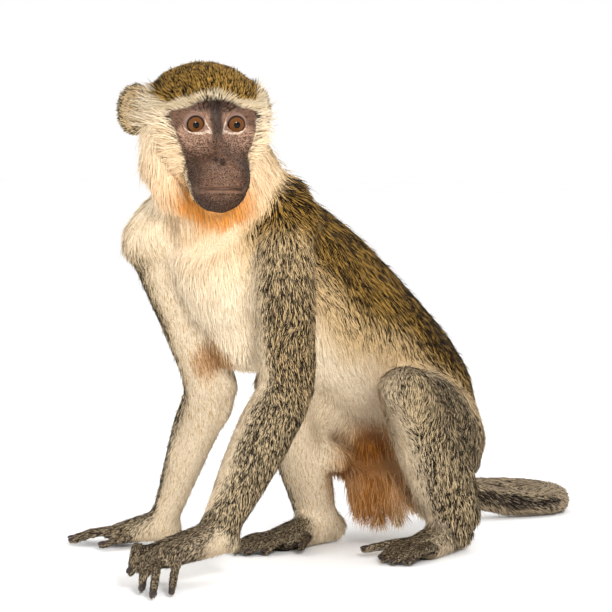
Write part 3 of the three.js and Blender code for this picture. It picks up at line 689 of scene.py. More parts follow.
def head_coat_colours(at):
    """The hair's pale colour, its dark colour and the share of it that is dark, over the head."""
    bare, band, crown, temple = head_zones(at)
    s, f, h = at.T
    orange, peach = throat_glow(at)
    pale = mixed(plain("cream", at), (tone("peach"), peach * 0.8), (tone("orange"), orange))
    pale = mixed(pale, (tone("gold"), crown), (tone("white"), band))
    brow = band * step(16, 6, np.abs(s))
    bold = np.maximum(np.maximum(crown, brow), np.maximum(temple, bare))
    dark = mixed(plain("straw", at), (tone("olive_dark"), bold), (tone("skin_dark"), bare))
    outskirts = step(24, 40, np.abs(s)) * step(20, -30, f) * step(-70, -20, h)
    share = np.maximum(0.13 + 0.2 * outskirts, 0.62 * crown)
    share = np.maximum(share * (1 - band), 0.1 * band + 0.24 * brow)
    return pale, dark, np.maximum(share, np.maximum(temple * 0.9, bare))


def tail_shade_line(points):
    """Painted shade: a dark line along the side of the tail that faces the camera, where its lying strands
    shade one another.
    """
    away, shade_line = np.full(len(points), 1e9), np.zeros(len(points))
    for kind, _, a, b in bones():
        if kind == "tail":
            gap, _, foot = reach(points, a, b)
            closer = gap < away
            away[closer] = gap[closer]
            faces = unit(points[closer] - foot[closer]) @ unit(np.array(TAIL_SHADE_SIDE))
            shade_line[closer] = step(0.72, 0.93, faces)
    return shade_line


def body_coat_colours(points, share):
    """The hair's pale colour, its dark colour and the share of it that is dark, over the body."""
    dorsal, outside = body_zones(points, share)
    limb = step(0.25, 0.75, share_of(share, *LIMB_KINDS, *END_KINDS))
    tail = share_of(share, "tail")
    at = (points - POSE_SHIFT) / MM
    wander = ripple(points, 0.03, 11) * 0.07
    high = dorsal + wander
    orange, peach = throat_glow(to_head(points))
    pale = mixed(plain("cream", at), (tone("peach"), peach * 0.8), (tone("orange"), orange))
    pale = mixed(pale, (tone("pale_limb"), step(-20, 40, at[:, 1])), (tone("tan"), step(-0.45, 0.1, high)))
    pale = mixed(pale, (tone("gold"), step(0.1, 0.5, high)))
    dark = mixed(plain("straw", at), (tone("olive_dark"), step(-0.3, 0.15, high)))
    dark_share = 0.1 + 0.56 * step(-0.2, 0.5, high) + 0.18 * step(20, 90, at[:, 1]) * step(0.1, 0.6, high)
    outer = step(-0.4, 0.7, outside + wander)
    pale = mixed(pale, (mixed(plain("pale_limb", at), (tone("pale_grey"), outer)), limb))
    pale = mixed(pale, (tone("gold"), outer * 0.4 * share_of(share, "upper_arm")))
    dark = mixed(dark, (mixed(plain("straw", at), (tone("grey_dark"), step(0, 0.5, outer))), limb))
    knee = sum(step(50, 15, np.linalg.norm(at - np.array(place), axis=1)) for place in KNEES)
    dark_share = dark_share + (0.16 + (0.5 - 0.24 * knee) * step(0.1, 0.9, outer) - dark_share) * limb
    # Painted shade along the side of the tail that faces the camera.
    shade_line = tail_shade_line(points)
    pale = mixed(pale, (tone("grey"), tail))
    dark = mixed(dark, (tone("black"), tail))
    dark_share = dark_share + (0.3 + 0.6 * shade_line - dark_share) * tail
    for heart, reach_of_patch, strength in (
        (GROIN_HEART, (50, 36, 46), 1 - 0.35 * limb), (CHEST_TUFT, (24, 24, 24), 0.7)
    ):
        away = np.linalg.norm((at - np.array(heart)) / np.array(reach_of_patch), axis=1)
        rufous = step(1.15, 0.6, away) * strength
        pale, dark = mixed(pale, (tone("orange") * 0.6, rufous)), mixed(dark, (tone("rufous"), rufous))
        dark_share = dark_share + (0.7 - dark_share) * rufous
    ends = step(0.5, 1, share_of(share, *END_KINDS))
    pale, dark = mixed(pale, (tone("grey"), ends * 0.7)), mixed(dark, (tone("grey_dark"), ends))
    return pale, dark, np.maximum(dark_share, 0.64 * ends)


def undercoat(colours):
    """The colour of the skin under the coat, from the coat's three."""
    pale, dark, share = colours
    return (pale + (dark - pale) * share[:, None]) * (0.88 - 0.38 * share)[:, None]


def head_skin_colours(at):
    """Colour of the bare face, and of the skin under the hair."""
    bare, _, _, _ = head_zones(at)
    s, f, h = at.T
    skin = plain("skin", at)
    muzzle = np.exp(-(((h + 38) / 13) ** 2 + ((s + 1) / 15) ** 2)) * step(60, 70, f)
    skin = mixed(skin, (tone("muzzle"), muzzle))
    flank = step(11, 19, np.abs(s)) * step(-66, -52, h) * step(-18, -30, h)
    skin = mixed(skin, (tone("skin_dark"), flank * 0.55), (tone("skin_dark"), step(-50, -56, h) * 0.5))
    for side in (1, -1):
        local = eye_view(at, side)
        opening = lid_gap(local)
        near = step(0.0, 0.4, local[:, 1] / np.linalg.norm(local, axis=1))
        wide = np.sqrt((local[:, 0] / 20) ** 2 + ((local[:, 2] + 4) / 18) ** 2)
        skin = mixed(skin, (tone("skin_pale"), step(1.12, 0.55, wide) * near * 0.9))
        # Painted shade: a dark band in the crease of the upper lid.
        crease_shade = np.exp(-(((opening - 1.85) / 0.14) ** 2)) * step(-2, 4, local[:, 2])
        skin = mixed(skin, (tone("skin_dark"), crease_shade * near * 0.6))
        skin = mixed(skin, (tone("lid_rim"), step(1.36, 1.22, opening) * near * 0.95))
        skin = mixed(skin, (tone("lid_red"), step(1.06, 1.0, opening) * near * step(2, -2, local[:, 2])))
    gap, along, off = away_from_line(at, NOSE_LINE)
    # A dark strip down the nose bridge: partly the nose's own dark skin, partly painted shade of the bridge's
    # shaded side, set a little to the animal's left.
    nose_skin_and_shade = np.exp(-(((off[:, 0] - 0.6) / np.interp(along, (0, 1), (5.6, 5))) ** 6))
    nose_skin_and_shade = nose_skin_and_shade * step(-20, -4, h) * step(26, 36, f)
    lower_nose = step(14, 5, gap) * step(-6, -16, h)
    skin = mixed(skin, (tone("skin_dark"), nose_skin_and_shade * 0.9), (tone("skin"), lower_nose * 0.6))
    ridge = step(7, 12, h + 0.004 * s * s) * step(24, 8, np.abs(s))
    skin = mixed(skin, (tone("skin_dark"), ridge * 0.4))
    for place_s, place_f, place_h, r in NOSTRILS:
        pit = (at - np.array((place_s, place_f, place_h))) / np.array((r + 0.2, 5.0, r * 1.25))
        skin = mixed(skin, (tone("mouth"), np.exp(-(np.sum(pit * pit, axis=1)) ** 2)))
    gap, along, _ = away_from_line(at, MOUTH_LINE)
    slit = hill(gap, 1.0) * step(0, 0.05, along) * step(1, 0.95, along)
    skin = mixed(skin, (tone("mouth"), slit))
    blotch = 0.09 * ripple(at * MM, 0.009, 21) + 0.07 * ripple(at * MM, 0.0035, 22)
    skin = skin * (1 + blotch)[:, None]
    return mixed(undercoat(head_coat_colours(at)), (skin, bare))


# ---------- tufts ----------
# Two cuts of tuft: shares of the length where it has two edges, and its width there. Both end in a point.
SHORT_CUT = ((0.0, 0.5), (0.85, 0.9))
LONG_CUT = ((0.0, 0.36, 0.7), (0.75, 1.0, 0.7))
LONG_FROM = 12 * MM  # tufts above this length take the long cut
STRAYS = 0.05  # share of tufts that stand out a little
PATCH = 0.003  # a tuft's width and height in the unwrapped picture


def rooted(points, tris, density, rng):
    """Picks roots over a surface, density to the square metre: their triangles' corners and weights."""
    a, b, c = (points[tris[:, k]] for k in range(3))
    area = np.linalg.norm(np.cross(b - a, c - a), axis=1) / 2
    wanted = np.cumsum(area * density[tris].mean(axis=1))
    count = int(wanted[-1])
    pick = np.searchsorted(wanted, rng.random(count) * wanted[-1])
    u, v = rng.random((2, count))
    over = u + v > 1
    u[over], v[over] = 1 - u[over], 1 - v[over]
    return tris[pick], np.stack([1 - u - v, u, v], axis=1)


def at_roots(values, roots):
    corners, weights = roots
    weights = weights if values.ndim == 1 else weights[:, :, None]
    return (values[corners] * weights).sum(axis=1)


def along_surface(vectors, normals):
    return unit(vectors - dot(vectors, normals)[:, None] * normals)


def tuft_arrays(hair, cut, rng):
    """Tapered, bending tufts of one cut: points, triangles, normals, colours and unwrapped places."""
    places, widths = cut
    root, normal, lie = hair["root"], hair["normal"], hair["lie"]
    count, size = len(root), 2 * len(places) + 1
    turn = rng.normal(0, 0.15, count) + 0.22 * ripple(root, 0.022, 31) + 0.16 * ripple(root, 0.009, 32)
    across = np.cross(lie, normal)
    lie = unit(lie * np.cos(turn)[:, None] + across * np.sin(turn)[:, None])
    across = unit(np.cross(lie, normal))
    stray = rng.random(count) < STRAYS
    length = hair["length"] * rng.uniform(0.7, 1.2, count) * np.where(stray, 1.15, 1)
    lift = np.minimum(hair["lift"] * rng.uniform(0.6, 1.35, count) * np.where(stray, 2.2, 1), 0.7)
    tilt = rng.normal(0, 0.35, count)[:, None]
    edge = unit(across * np.cos(tilt) + normal * np.sin(tilt))
    place = root - normal * (length * 0.07)[:, None]
    marks, knots = places + (1.0,), [place]
    for low, high in zip(marks, marks[1:]):
        rise = (lift * (1.25 - 1.1 * (low + high) / 2))[:, None]
        way = lie * np.cos(rise) + normal * np.sin(rise)
        way = unit(way + np.array((0, 0, -1.0)) * (hair["droop"] * high)[:, None])
        place = place + way * (length * (high - low))[:, None]
        knots.append(place)
    points = np.empty((count, size, 3))
    for k, share in enumerate(widths):
        half = edge * (hair["width"] * share / 2)[:, None]
        points[:, 2 * k] = knots[k] - half
        points[:, 2 * k + 1] = knots[k] + half
    points[:, -1] = knots[-1]
    points[:, :, 2] = np.maximum(points[:, :, 2], 0.0003)
    blade = [t for k in range(0, size - 3, 2) for t in ((k, k + 1, k + 3), (k, k + 3, k + 2))]
    blade = np.array(blade + [(size - 3, size - 2, size - 1)])
    tris = (np.arange(count)[:, None, None] * size + blade).reshape(-1, 3)
    flat = unit(np.cross(edge, knots[-2] - knots[0]))
    soft = np.repeat(unit(normal * 0.88 + flat * 0.12), size, axis=0)

    rows = np.repeat(marks, 2)[:size]
    chance = np.clip(rng.random(count) + 0.12 * ripple(root, 0.0008, 33), 0.1, 0.9)
    dark = step(-0.1, 0.1, hair["dark_share"] - chance)[:, None]
    own = rng.normal(1, 0.02 + 0.12 * hair["dark_share"])[:, None]
    colour = (hair["pale"] + (hair["dark"] - hair["pale"]) * dark) * own
    # Painted shade: each tuft darkens towards its root, partly where the tufts shade one another, partly the
    # hair's own darker base; its tip is a touch lighter.
    shade = 1 - np.interp(rows, (0, 0.5, 1), (0.5, 0.1, -0.05)) * (0.25 + 0.75 * hair["dark_share"])[:, None]
    colours = colour[:, None] * shade[:, :, None]
    on_patch = np.stack([np.tile((0.0, 1.0), size)[:size], rows], axis=1)
    on_patch[-1, 0] = 0.5
    uv = hair["unwrap"][:, None] + on_patch * PATCH
    return points.reshape(-1, 3), tris, soft, colours.reshape(-1, 3), uv.reshape(-1, 2)


def tuft_mesh(name, hair, rng):
    """One mesh of tufts. hair holds one row per tuft of everything a tuft needs."""
    uv = hair["unwrap"]
    low, high = uv.min(axis=0), uv.max(axis=0)
    hair["unwrap"] = PATCH + (uv - low) / np.maximum(high - low, 1e-9) * (1 - 3 * PATCH)
    long = hair["length"] > LONG_FROM
    made = []
    for chosen, cut in ((long, LONG_CUT), (~long, SHORT_CUT)):
        if chosen.any():
            made.append(tuft_arrays({key: value[chosen] for key, value in hair.items()}, cut, rng))
    offsets = np.cumsum([0] + [len(part[0]) for part in made])
    points, tris, soft, colours, places = (np.vstack(column) for column in zip(*made))
    tris = np.vstack([part[1] + offset for part, offset in zip(made, offsets)])
    mesh = new_mesh(name, points, tris)
    mesh.normals_split_custom_set_from_vertices(soft)
    point_colours(mesh, "hair", colours)
    layer = mesh.uv_layers.new(name="OFBake")
    layer.data.foreach_set("uv", places[tris.ravel()].astype(np.float32).ravel())
    return mesh


# ---------- the coat of the head ----------
FACE_HEART = (0, 66, -14)  # the hair of the head lies away from here


def head_hair(at):
    """Length (mm), width (mm), lift (degrees), droop and layers of the hair over the head."""
    s, f, h = at.T
    across = np.abs(s)
    bare, band, crown, temple = head_zones(at)
    cheek = step(20, 34, across) * step(-66, -44, h) * step(6, -8, h) * step(-44, -18, f) * step(52, 34, f)
    sweep = step(28, 38, across) * step(-14, -4, h) * step(30, 20, h) * step(-24, -8, f) * step(32, 22, f)
    under = step(-44, -60, h) * step(72, 40, f)
    by_ear = step(34, 42, across) * step(-16, -6, f) * step(22, 8, f) * step(-24, -12, h) * step(26, 16, h)
    length = 7 + 15 * cheek + 6 * sweep + 9 * under + 2 * band + 12 * by_ear + 4 * step(-20, -40, f) - crown
    ridge = bare * step(8, 11.5, h) * (0.15 + 0.85 * step(24, 8, across))
    length = length * (0.5 + 0.5 * step(72, 46, f)) * (1 - 0.72 * bare) + 2.6 * ridge
    width = 0.52 + 0.12 * cheek + 0.1 * under - 0.18 * bare
    lift = 18 + 10 * by_ear + 10 * cheek + 18 * band * step(20, 8, across)
    lift = lift + 4 * under + 8 * temple + 14 * ridge
    droop = 0.04 + 0.16 * cheek + 0.1 * under
    from_mouth = away_from_line(at, MOUTH_LINE)[0]
    stubble = (0.5 * step(-4, -14, h) + 0.15) * step(2, 4.5, from_mouth) + 0.7 * ridge
    layers = 4.4 + (stubble - 4.4) * step(0.2, 0.8, bare)
    return length, width, lift, droop, layers


def ear_rim(side, points, normals):
    """How much each point of an ear is on its rim, and how high up, 0 to 1."""
    middle_point = points.mean(axis=0)
    _, _, axes = np.linalg.svd(points - middle_point, full_matrices=False)
    up = step(-2 * MM, 9 * MM, (points - middle_point) @ HEAD_AXES[2])
    return step(0.55, 0.25, np.abs(normals @ axes[2])), up


def head_parts():
    """Every stretch of skin that the head's hair grows from: points and triangles in metres, and its name."""
    points, tris = head_shell()
    yield on_head(points), tris[:, ::-1], ""
    for side in SIDES:
        yield *ear_shell(side), side


def head_coat(settings):
    """All tufts of the head, one row each, with the name of the piece each belongs to."""
    rng = np.random.default_rng(SEED)
    hairs, parts = [], []
    for points, tris, side in head_parts():
        normals = normals_of(points, tris)
        at_points = to_head(points)
        length, width, lift, droop, layers = head_hair(at_points)
        if side:
            rim, up = ear_rim(side, points, normals)
            length, width, layers = 4.6 - 1.6 * rim, 0.45 + 0 * rim, 3.6 * (1 - rim * (0.3 + 0.6 * up))
            lift, droop = 11 + 0 * rim, 0 * rim
        roots = rooted(points, tris, settings.density * layers / (0.6 * length * width * MM * MM), rng)
        root, normal = at_roots(points, roots), unit(at_roots(normals, roots))
        at, ray = to_head(root), unit(to_head(root) - np.array(SKULL_HEART))
        out = unit(at - np.array(FACE_HEART)) + np.array((0, -0.35, 0)) * step(-10, 40, at[:, 1])[:, None]
        flip = np.array((np.sign(at[:, 0]), at[:, 0] * 0 - 0.2, at[:, 0] * 0 + 0.1)).T
        out = out + flip * (2.0 * head_zones(at)[1] * step(5, 16, np.abs(at[:, 0])))[:, None]
        pale, dark, share = head_coat_colours(at)
        if side:
            away = step(40, 56, np.abs(at[:, 0]))
            pale = mixed(plain("pale_limb", at), (tone("pale_grey"), away))
            dark, share = plain("grey_dark", at), 0.36 + 0.2 * away
        unwrap = np.stack([np.arctan2(ray[:, 0], -ray[:, 1]), np.arcsin(np.clip(ray[:, 2], -1, 1))], axis=1)
        hairs.append({
            "root": root, "normal": normal, "lie": along_surface(out @ HEAD_AXES, normal),
            "length": at_roots(length, roots) * MM * settings.length, "width": at_roots(width, roots) * MM,
            "lift": np.radians(at_roots(lift, roots)), "droop": at_roots(droop, roots),
            "pale": pale, "dark": dark, "dark_share": share, "unwrap": unwrap,
        })
        by_place = np.where(at[:, 2] > 8, "crown", np.where(at[:, 0] > 0, "cheek_left", "cheek_right"))
        parts.append(np.full(len(at), f"ear_{side}") if side else by_place)
    hair = {key: np.concatenate([hair[key] for hair in hairs]) for key in hairs[0]}
    return hair, np.concatenate(parts), rng


# ---------- the coat of the body ----------
def body_lie(points, normals, share):
    """The way the hair lies: along the bones, and a little downwards."""
    ways = np.array([unit(b - a) for _, _, a, b in bones()])
    way = share @ ways
    trunk, leg = share_of(share, "neck", "chest", "abdomen", "pelvis"), share_of(share, "thigh", "shank")
    hang = 0.25 + 0.35 * trunk + 0.3 * leg
    return along_surface(way + np.array((0, 0, -1.0)) * hang[:, None], normals)


def body_hair(points, share):
    """Length, width, lift, droop and layers of the hair over the body."""
    made = np.array([BUILD[bone[0]] for bone in bones()], float)
    length, width, lift, layers = (share @ made[:, k] for k in (2, 3, 4, 5))
    dorsal, _ = body_zones(points, share)
    front = step(0.1, -0.6, dorsal)
    at = (points - POSE_SHIFT) / MM
    groin = (at - np.array(GROIN_HEART) - np.array(FRINGE_SHIFT)) / np.array(FRINGE_REACH)
    fringe = step(1.2, 0.6, np.linalg.norm(groin, axis=1))
    length = length * (1 + 0.25 * front) + 12 * fringe
    width = width * (1 - 0.12 * front)
    droop = 0.08 + 0.3 * front + 0.3 * fringe
    return length, width, lift, droop, layers


PIECE_OF = {"hand": "forearm", "finger": "forearm", "foot": "shank", "toe": "shank"}


def body_parts(share):
    """The piece of coat that each point belongs to."""
    columns = {}
    for k, (kind, side, _, _) in enumerate(bones()):
        part = f"{PIECE_OF.get(kind, kind)}_{side}" if side else kind
        columns.setdefault(part, []).append(k)
    total = np.stack([share[:, own].sum(axis=1) for own in columns.values()])
    return np.array(list(columns))[total.argmax(axis=0)]


def body_unwrap(points, share):
    """Angle about the nearest bone and place along the chain of bones."""
    main = share.argmax(axis=1)
    uv = np.empty((len(points), 2))
    for k, (_, _, a, b) in enumerate(bones()):
        here = main == k
        if here.any():
            _, t, foot = reach(points[here], a, b)
            way = unit(b - a)
            level = unit(np.cross(way, (0.3, 0.2, 0.9)))
            rise = np.cross(way, level)
            radial = points[here] - foot
            uv[here, 0] = np.arctan2(dot(radial, level), dot(radial, rise))
            uv[here, 1] = k * 0.3 + t * 0.29
    return uv


NEAR_HEAD = 115  # mm from the head's centre


def outside_head(points):
    """1 for points outside the head's skin, 0 for points within it or right in front of the bare face."""
    head, tris = head_shell()
    tree = BVHTree.FromPolygons(head.tolist(), tris.tolist())
    at = to_head(points)
    keep = np.ones(len(points))
    for k in np.flatnonzero(np.linalg.norm(at, axis=1) < NEAR_HEAD):
        place, normal, _, _ = tree.find_nearest(Vector(at[k]))
        keep[k] = (Vector(at[k]) - place).dot(normal) > 0
    return keep * (1 - head_zones(at)[0])


@functools.cache
def body_coat_rows(density, length_share):
    """All tufts of the body, one row each, and the name of the piece each belongs to."""
    rng = np.random.default_rng(SEED + 1)
    points, tris = body_shell()
    share = closeness(points)
    length, width, lift, droop, layers = body_hair(points, share)
    layers = layers * outside_head(points)
    roots = rooted(points, tris, density * layers / (0.6 * length * width * MM * MM), rng)
    root = at_roots(points, roots)
    normal = unit(at_roots(normals_of(points, tris), roots))
    share = closeness(root)
    pale, dark, dark_share = body_coat_colours(root, closeness(root, 4))
    hair = {
        "root": root, "normal": normal, "lie": body_lie(root, normal, closeness(root, 3)),
        "length": at_roots(length, roots) * MM * length_share, "width": at_roots(width, roots) * MM,
        "lift": np.radians(at_roots(lift, roots)), "droop": at_roots(droop, roots),
        "pale": pale, "dark": dark, "dark_share": dark_share, "unwrap": body_unwrap(root, share),
    }
    return hair, body_parts(share)


def sow(hair, part, wanted, rng):
    """Makes the pieces of coat with these names."""
    for name in wanted:
        here = part == name
        rows = {key: value[here] for key, value in hair.items()}
        piece = show(f"coat_{name}", tuft_mesh(f"coat_{name}", rows, rng), material("coat"))


# ---------- materials ----------
def shader_group(name, outputs, build):
    """A node group that several materials share. It gives out only values and colours."""
    group = bpy.data.node_groups.get(name)
    if group is None:
        group = bpy.data.node_groups.new(name, "ShaderNodeTree")
        for label, kind in outputs:
            group.interface.new_socket(label, in_out="OUTPUT", socket_type=kind)
        end = group.nodes.new("NodeGroupOutput")
        build(group, end)
    return group


def build_grain(group, end):
    """Fine mottling: a value round 1 for colours, as strong as asked, and a height for the bump."""
    group.interface.new_socket("Strength", in_out="INPUT", socket_type="NodeSocketFloat")
    start = group.nodes.new("NodeGroupInput")
    place = group.nodes.new("ShaderNodeNewGeometry")
    noise = group.nodes.new("ShaderNodeTexNoise")
    noise.inputs["Scale"].default_value = 700
    noise.inputs["Detail"].default_value = 4
    level = group.nodes.new("ShaderNodeMath")
    level.operation = "SUBTRACT"
    level.inputs[1].default_value = 0.5
    shade = group.nodes.new("ShaderNodeMath")
    shade.operation = "MULTIPLY_ADD"
    shade.inputs[2].default_value = 1
    group.links.new(place.outputs["Position"], noise.inputs["Vector"])
    group.links.new(noise.outputs["Fac"], level.inputs[0])
    group.links.new(level.outputs["Value"], shade.inputs[0])
    group.links.new(start.outputs["Strength"], shade.inputs[1])
    group.links.new(shade.outputs["Value"], end.inputs["Shade"])
    group.links.new(noise.outputs["Fac"], end.inputs["Height"])


# name: (colour attribute, roughness, shine, mottling, bump distance in mm, wet film)
FINISHES = {
    "coat": ("hair", 0.75, 0.08, 0.6, 0.0, 0.0),
    "skin": ("skin", 0.55, 0.3, 1.1, 0.35, 0.0),
    "eye": ("eye", 0.3, 0.0, 0.0, 0.0, 0.3),
    "nail": ("nail", 0.4, 0.4, 0.4, 0.05, 0.0),
}


@functools.cache
def material(name):
    """A material that takes its colour from the points and its mottling from the shared group."""
    layer, roughness, shine, mottling, bump_mm, wet = FINISHES[name]
    made = bpy.data.materials.new(name)
    made.use_nodes = True
    nodes, links = made.node_tree.nodes, made.node_tree.links
    shader = nodes["Principled BSDF"]
    shader.inputs["Roughness"].default_value = roughness
    shader.inputs["Specular IOR Level"].default_value = shine
    shader.inputs["Coat Weight"].default_value = wet
    shader.inputs["Coat Roughness"].default_value = 0.03
    colour = nodes.new("ShaderNodeAttribute")
    colour.attribute_name = layer
    grain = nodes.new("ShaderNodeGroup")
    outputs = [("Shade", "NodeSocketFloat"), ("Height", "NodeSocketFloat")]
    grain.node_tree = shader_group("Grain", outputs, build_grain)
    grain.inputs["Strength"].default_value = mottling
    if wet:
        links.new(colour.outputs["Color"], shader.inputs["Base Color"])
        return made
    shaded = nodes.new("ShaderNodeVectorMath")
    shaded.operation = "SCALE"
    links.new(colour.outputs["Color"], shaded.inputs[0])
    links.new(grain.outputs["Shade"], shaded.inputs["Scale"])
    links.new(shaded.outputs["Vector"], shader.inputs["Base Color"])
    if bump_mm:
        bump = nodes.new("ShaderNodeBump")
        bump.inputs["Distance"].default_value = bump_mm * MM
        bump.inputs["Strength"].default_value = 1
        links.new(grain.outputs["Height"], bump.inputs["Height"])
        links.new(bump.outputs["Normal"], shader.inputs["Normal"])
    return made


# ---------- pieces ----------
def build_skin():
    """One skin over the whole animal, in place of every node of flesh."""
    head, head_tris = head_shell()
    body, body_tris = body_shell()
    share = closeness(body)
    bare = step(0.4, 0.9, share_of(share, "finger", "toe"))
    colours = mixed(undercoat(body_coat_colours(body, closeness(body, 4))), (tone("hand"), bare))
    parts = [(on_head(head), head_tris[:, ::-1], head_skin_colours(head)), (body, body_tris, colours)]
    for side in SIDES:
        ear, ear_tris = ear_shell(side)
        rim, up = ear_rim(side, ear, normals_of(ear, ear_tris))
        tint = mixed(plain("tan", ear) * 0.6, (tone("ear_skin"), rim), (tone("skin_dark"), rim * up))
        parts.append((ear, ear_tris, tint))
    offset, points, tris, paints = 0, [], [], []
    for part_points, part_tris, part_colours in parts:
        points.append(part_points)
        tris.append(part_tris + offset)
        paints.append(part_colours)
        offset += len(part_points)
    mesh = new_mesh("skin", np.vstack(points), np.vstack(tris))
    point_colours(mesh, "skin", np.vstack(paints))
    skin = show("skin", mesh, material("skin"))
    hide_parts(*[n for n in sorted(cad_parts) if not n.startswith("eye")])


CORNEA = 0.035  # how far the clear front of the eye stands out, as a share of its radius


def build_eye(side, settings):
    """A wet eyeball with a clear iris. Its rings run round the way it looks."""
    centre = middle(f"eye_{side}")
    gaze = unit(np.array((0.02, 1, -0.02))) @ HEAD_AXES
    level = unit(np.cross(gaze, (0, 0, 1)))
    rise = np.cross(level, gaze)
    around = np.linspace(0, 2 * np.pi, ROUND, endpoint=False)
    iris, pupil = settings.iris_radius / EYE_RADIUS, settings.pupil_radius / EYE_RADIUS
    edges = [math.asin(pupil) * 0.96, math.asin(pupil), math.asin(iris) * 0.93, math.asin(iris) * 1.03]
    angles = np.unique(np.concatenate([np.linspace(0.02, 1.2, 46), edges, np.linspace(1.25, 3.12, 26)]))
    rings, paints = [], []
    for a in angles:
        bulge = 1 + CORNEA * step(0.78, 0.0, a)
        r = math.sin(a) / iris
        fibre = 0.12 * np.sin(around * 47 + 3 * np.sin(around * 5)) + 0.08 * np.sin(around * 23)
        colour = plain("iris", around) * (0.75 + 0.4 * r + fibre)[:, None]
        rim, lid, hole = step(0.88, 1.0, r), step(1.08, 1.25, r) * 0.8, step(edges[1], edges[0], a)
        for part, share in (("black", rim), ("lid_red", lid), ("pupil", hole)):
            colour = mixed(colour, (tone(part), np.full(ROUND, share)))
        ring = np.outer(np.cos(around) * math.sin(a), level) + np.outer(np.sin(around) * math.sin(a), rise)
        rings.append(centre + (ring + gaze * math.cos(a)) * EYE_RADIUS * MM * bulge)
        paints.append(colour)
    tris = []
    for r in range(len(angles) - 1):
        for k in range(ROUND):
            a, b = r * ROUND + k, r * ROUND + (k + 1) % ROUND
            tris += [(a, a + ROUND, b), (b, a + ROUND, b + ROUND)]
    pole = gaze * EYE_RADIUS * MM
    points = np.vstack(rings + [centre + pole * (1 + CORNEA), centre - pole])
    first, last = len(points) - 2, len(points) - 1
    base = (len(angles) - 1) * ROUND
    tris += [(first, k, (k + 1) % ROUND) for k in range(ROUND)]
    tris += [(last, base + (k + 1) % ROUND, base + k) for k in range(ROUND)]
    mesh = new_mesh(f"eye_{side}", points, np.array(tris))
    point_colours(mesh, "eye", np.vstack(paints + [tone("pupil"), tone("black")]))
    eye = show(f"eyeball_{side}", mesh, material("eye"))
    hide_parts(f"eye_{side}")


def build_nails(settings):
    """A small curved nail on the end of every digit."""
    points, tris, offset = [], [], 0
    ball, ball_tris = ball_arrays((0, 0, 0), 1, subdivisions=3)
    for kind, _, a, b in bones():
        if kind in ("finger", "toe"):
            way = unit(b - a)
            level = unit(np.cross(way, (0, 0, 1)))
            rise = np.cross(level, way)
            size = np.array((0.42, 0.75, 0.28)) * settings.nail_length * MM
            at = b - way * 3.2 * MM + rise * 2.1 * MM
            points.append(at + (ball * size) @ np.stack([level, way, rise]))
            tris.append(ball_tris + offset)
            offset += len(ball)
    mesh = new_mesh("nails", np.vstack(points), np.vstack(tris))
    point_colours(mesh, "nail", np.tile(tone("skin_dark"), (offset, 1)))
    nails = show("nails", mesh, material("nail"))


# ---------- settings ----------
def size_property(name, description, default, low, high, subtype="NONE"):
    return bpy.props.FloatProperty(
        name=name, description=description, default=default, min=low, max=high, subtype=subtype
    )


class MonkeySizes(bpy.types.PropertyGroup):
    """Sizes of the eyes, nails and coat."""

    iris_radius: size_property("Iris radius", "In millimetres", 6.3, 4, 9)
    pupil_radius: size_property("Pupil radius", "In millimetres", 2.6, 1, 5)
    nail_length: size_property("Nail length", "In millimetres", 5.5, 2, 12)
    length: size_property("Hair length", "Share of the natural length", 1, 0.3, 1.5, "FACTOR")
    density: size_property("Hair density", "Share of the natural density", 1, 0.05, 1.4, "FACTOR")


class MonkeyColours(bpy.types.PropertyGroup):
    """Colours of hair, skin, eyes and nails."""


for colour_name, code in COLOURS.items():
    MonkeyColours.__annotations__[colour_name] = bpy.props.FloatVectorProperty(
        name=colour_name.replace("_", " ").capitalize(),
        description="Colour used in the coat, skin or eyes",
        default=paint(code),
        min=0,
        max=1,
        size=3,
        subtype="COLOR",
    )


# ---------- operators ----------
class MONKEY_OT_skin(bpy.types.Operator):
    """Builds the skin over the whole animal"""

    bl_idname = "monkey.skin"
    bl_label = "Skin"

    def execute(self, context):
        build_skin()
        return {"FINISHED"}


class MONKEY_OT_eyes(bpy.types.Operator):
    """Builds both eyeballs"""

    bl_idname = "monkey.eyes"
    bl_label = "Eyes"

    def execute(self, context):
        for side in SIDES:
            build_eye(side, context.scene.monkey_sizes)
        return {"FINISHED"}


class MONKEY_OT_nails(bpy.types.Operator):
    """Builds the nails of fingers and toes"""

    bl_idname = "monkey.nails"
    bl_label = "Nails"

    def execute(self, context):
        build_nails(context.scene.monkey_sizes)
        return {"FINISHED"}


class MONKEY_OT_head_coat(bpy.types.Operator):
    """Grows the hair of crown, brow and cheeks"""

    bl_idname = "monkey.head_coat"
    bl_label = "Coat of the head"

    def execute(self, context):
        hair, part, rng = head_coat(context.scene.monkey_sizes)
        sow(hair, part, sorted(set(part)), rng)
        return {"FINISHED"}


class MONKEY_OT_body_coat(bpy.types.Operator):
    """Grows the hair of trunk, limbs and tail"""

    bl_idname = "monkey.body_coat"
    bl_label = "Coat of the body"

    def execute(self, context):
        sizes = context.scene.monkey_sizes
        hair, part = body_coat_rows(sizes.density, sizes.length)
        sow(hair, part, sorted(set(part)), np.random.default_rng(SEED + 2))
        return {"FINISHED"}


# Each lamp's place and width (m) and power (W): a small key, a broad fill and a light from behind.
LAMPS = (((1.0, -1.02, 0.62), 0.26, 15), ((-0.9, -1.7, 1.2), 1.4, 7), ((0.2, 1.6, 1.9), 1.4, 10))
LIT_POINT = (0, 0, 0.2)
FLOOR_REACH = 30  # m
LENS = 152.94  # mm, on a film 36 mm wide
CAMERA_PLACE = (1261.9, -1802.1, 330.0)  # in the pose's coordinates, mm
CAMERA_AZIMUTH = math.radians(35)
CAMERA_PITCH = math.radians(3.2)


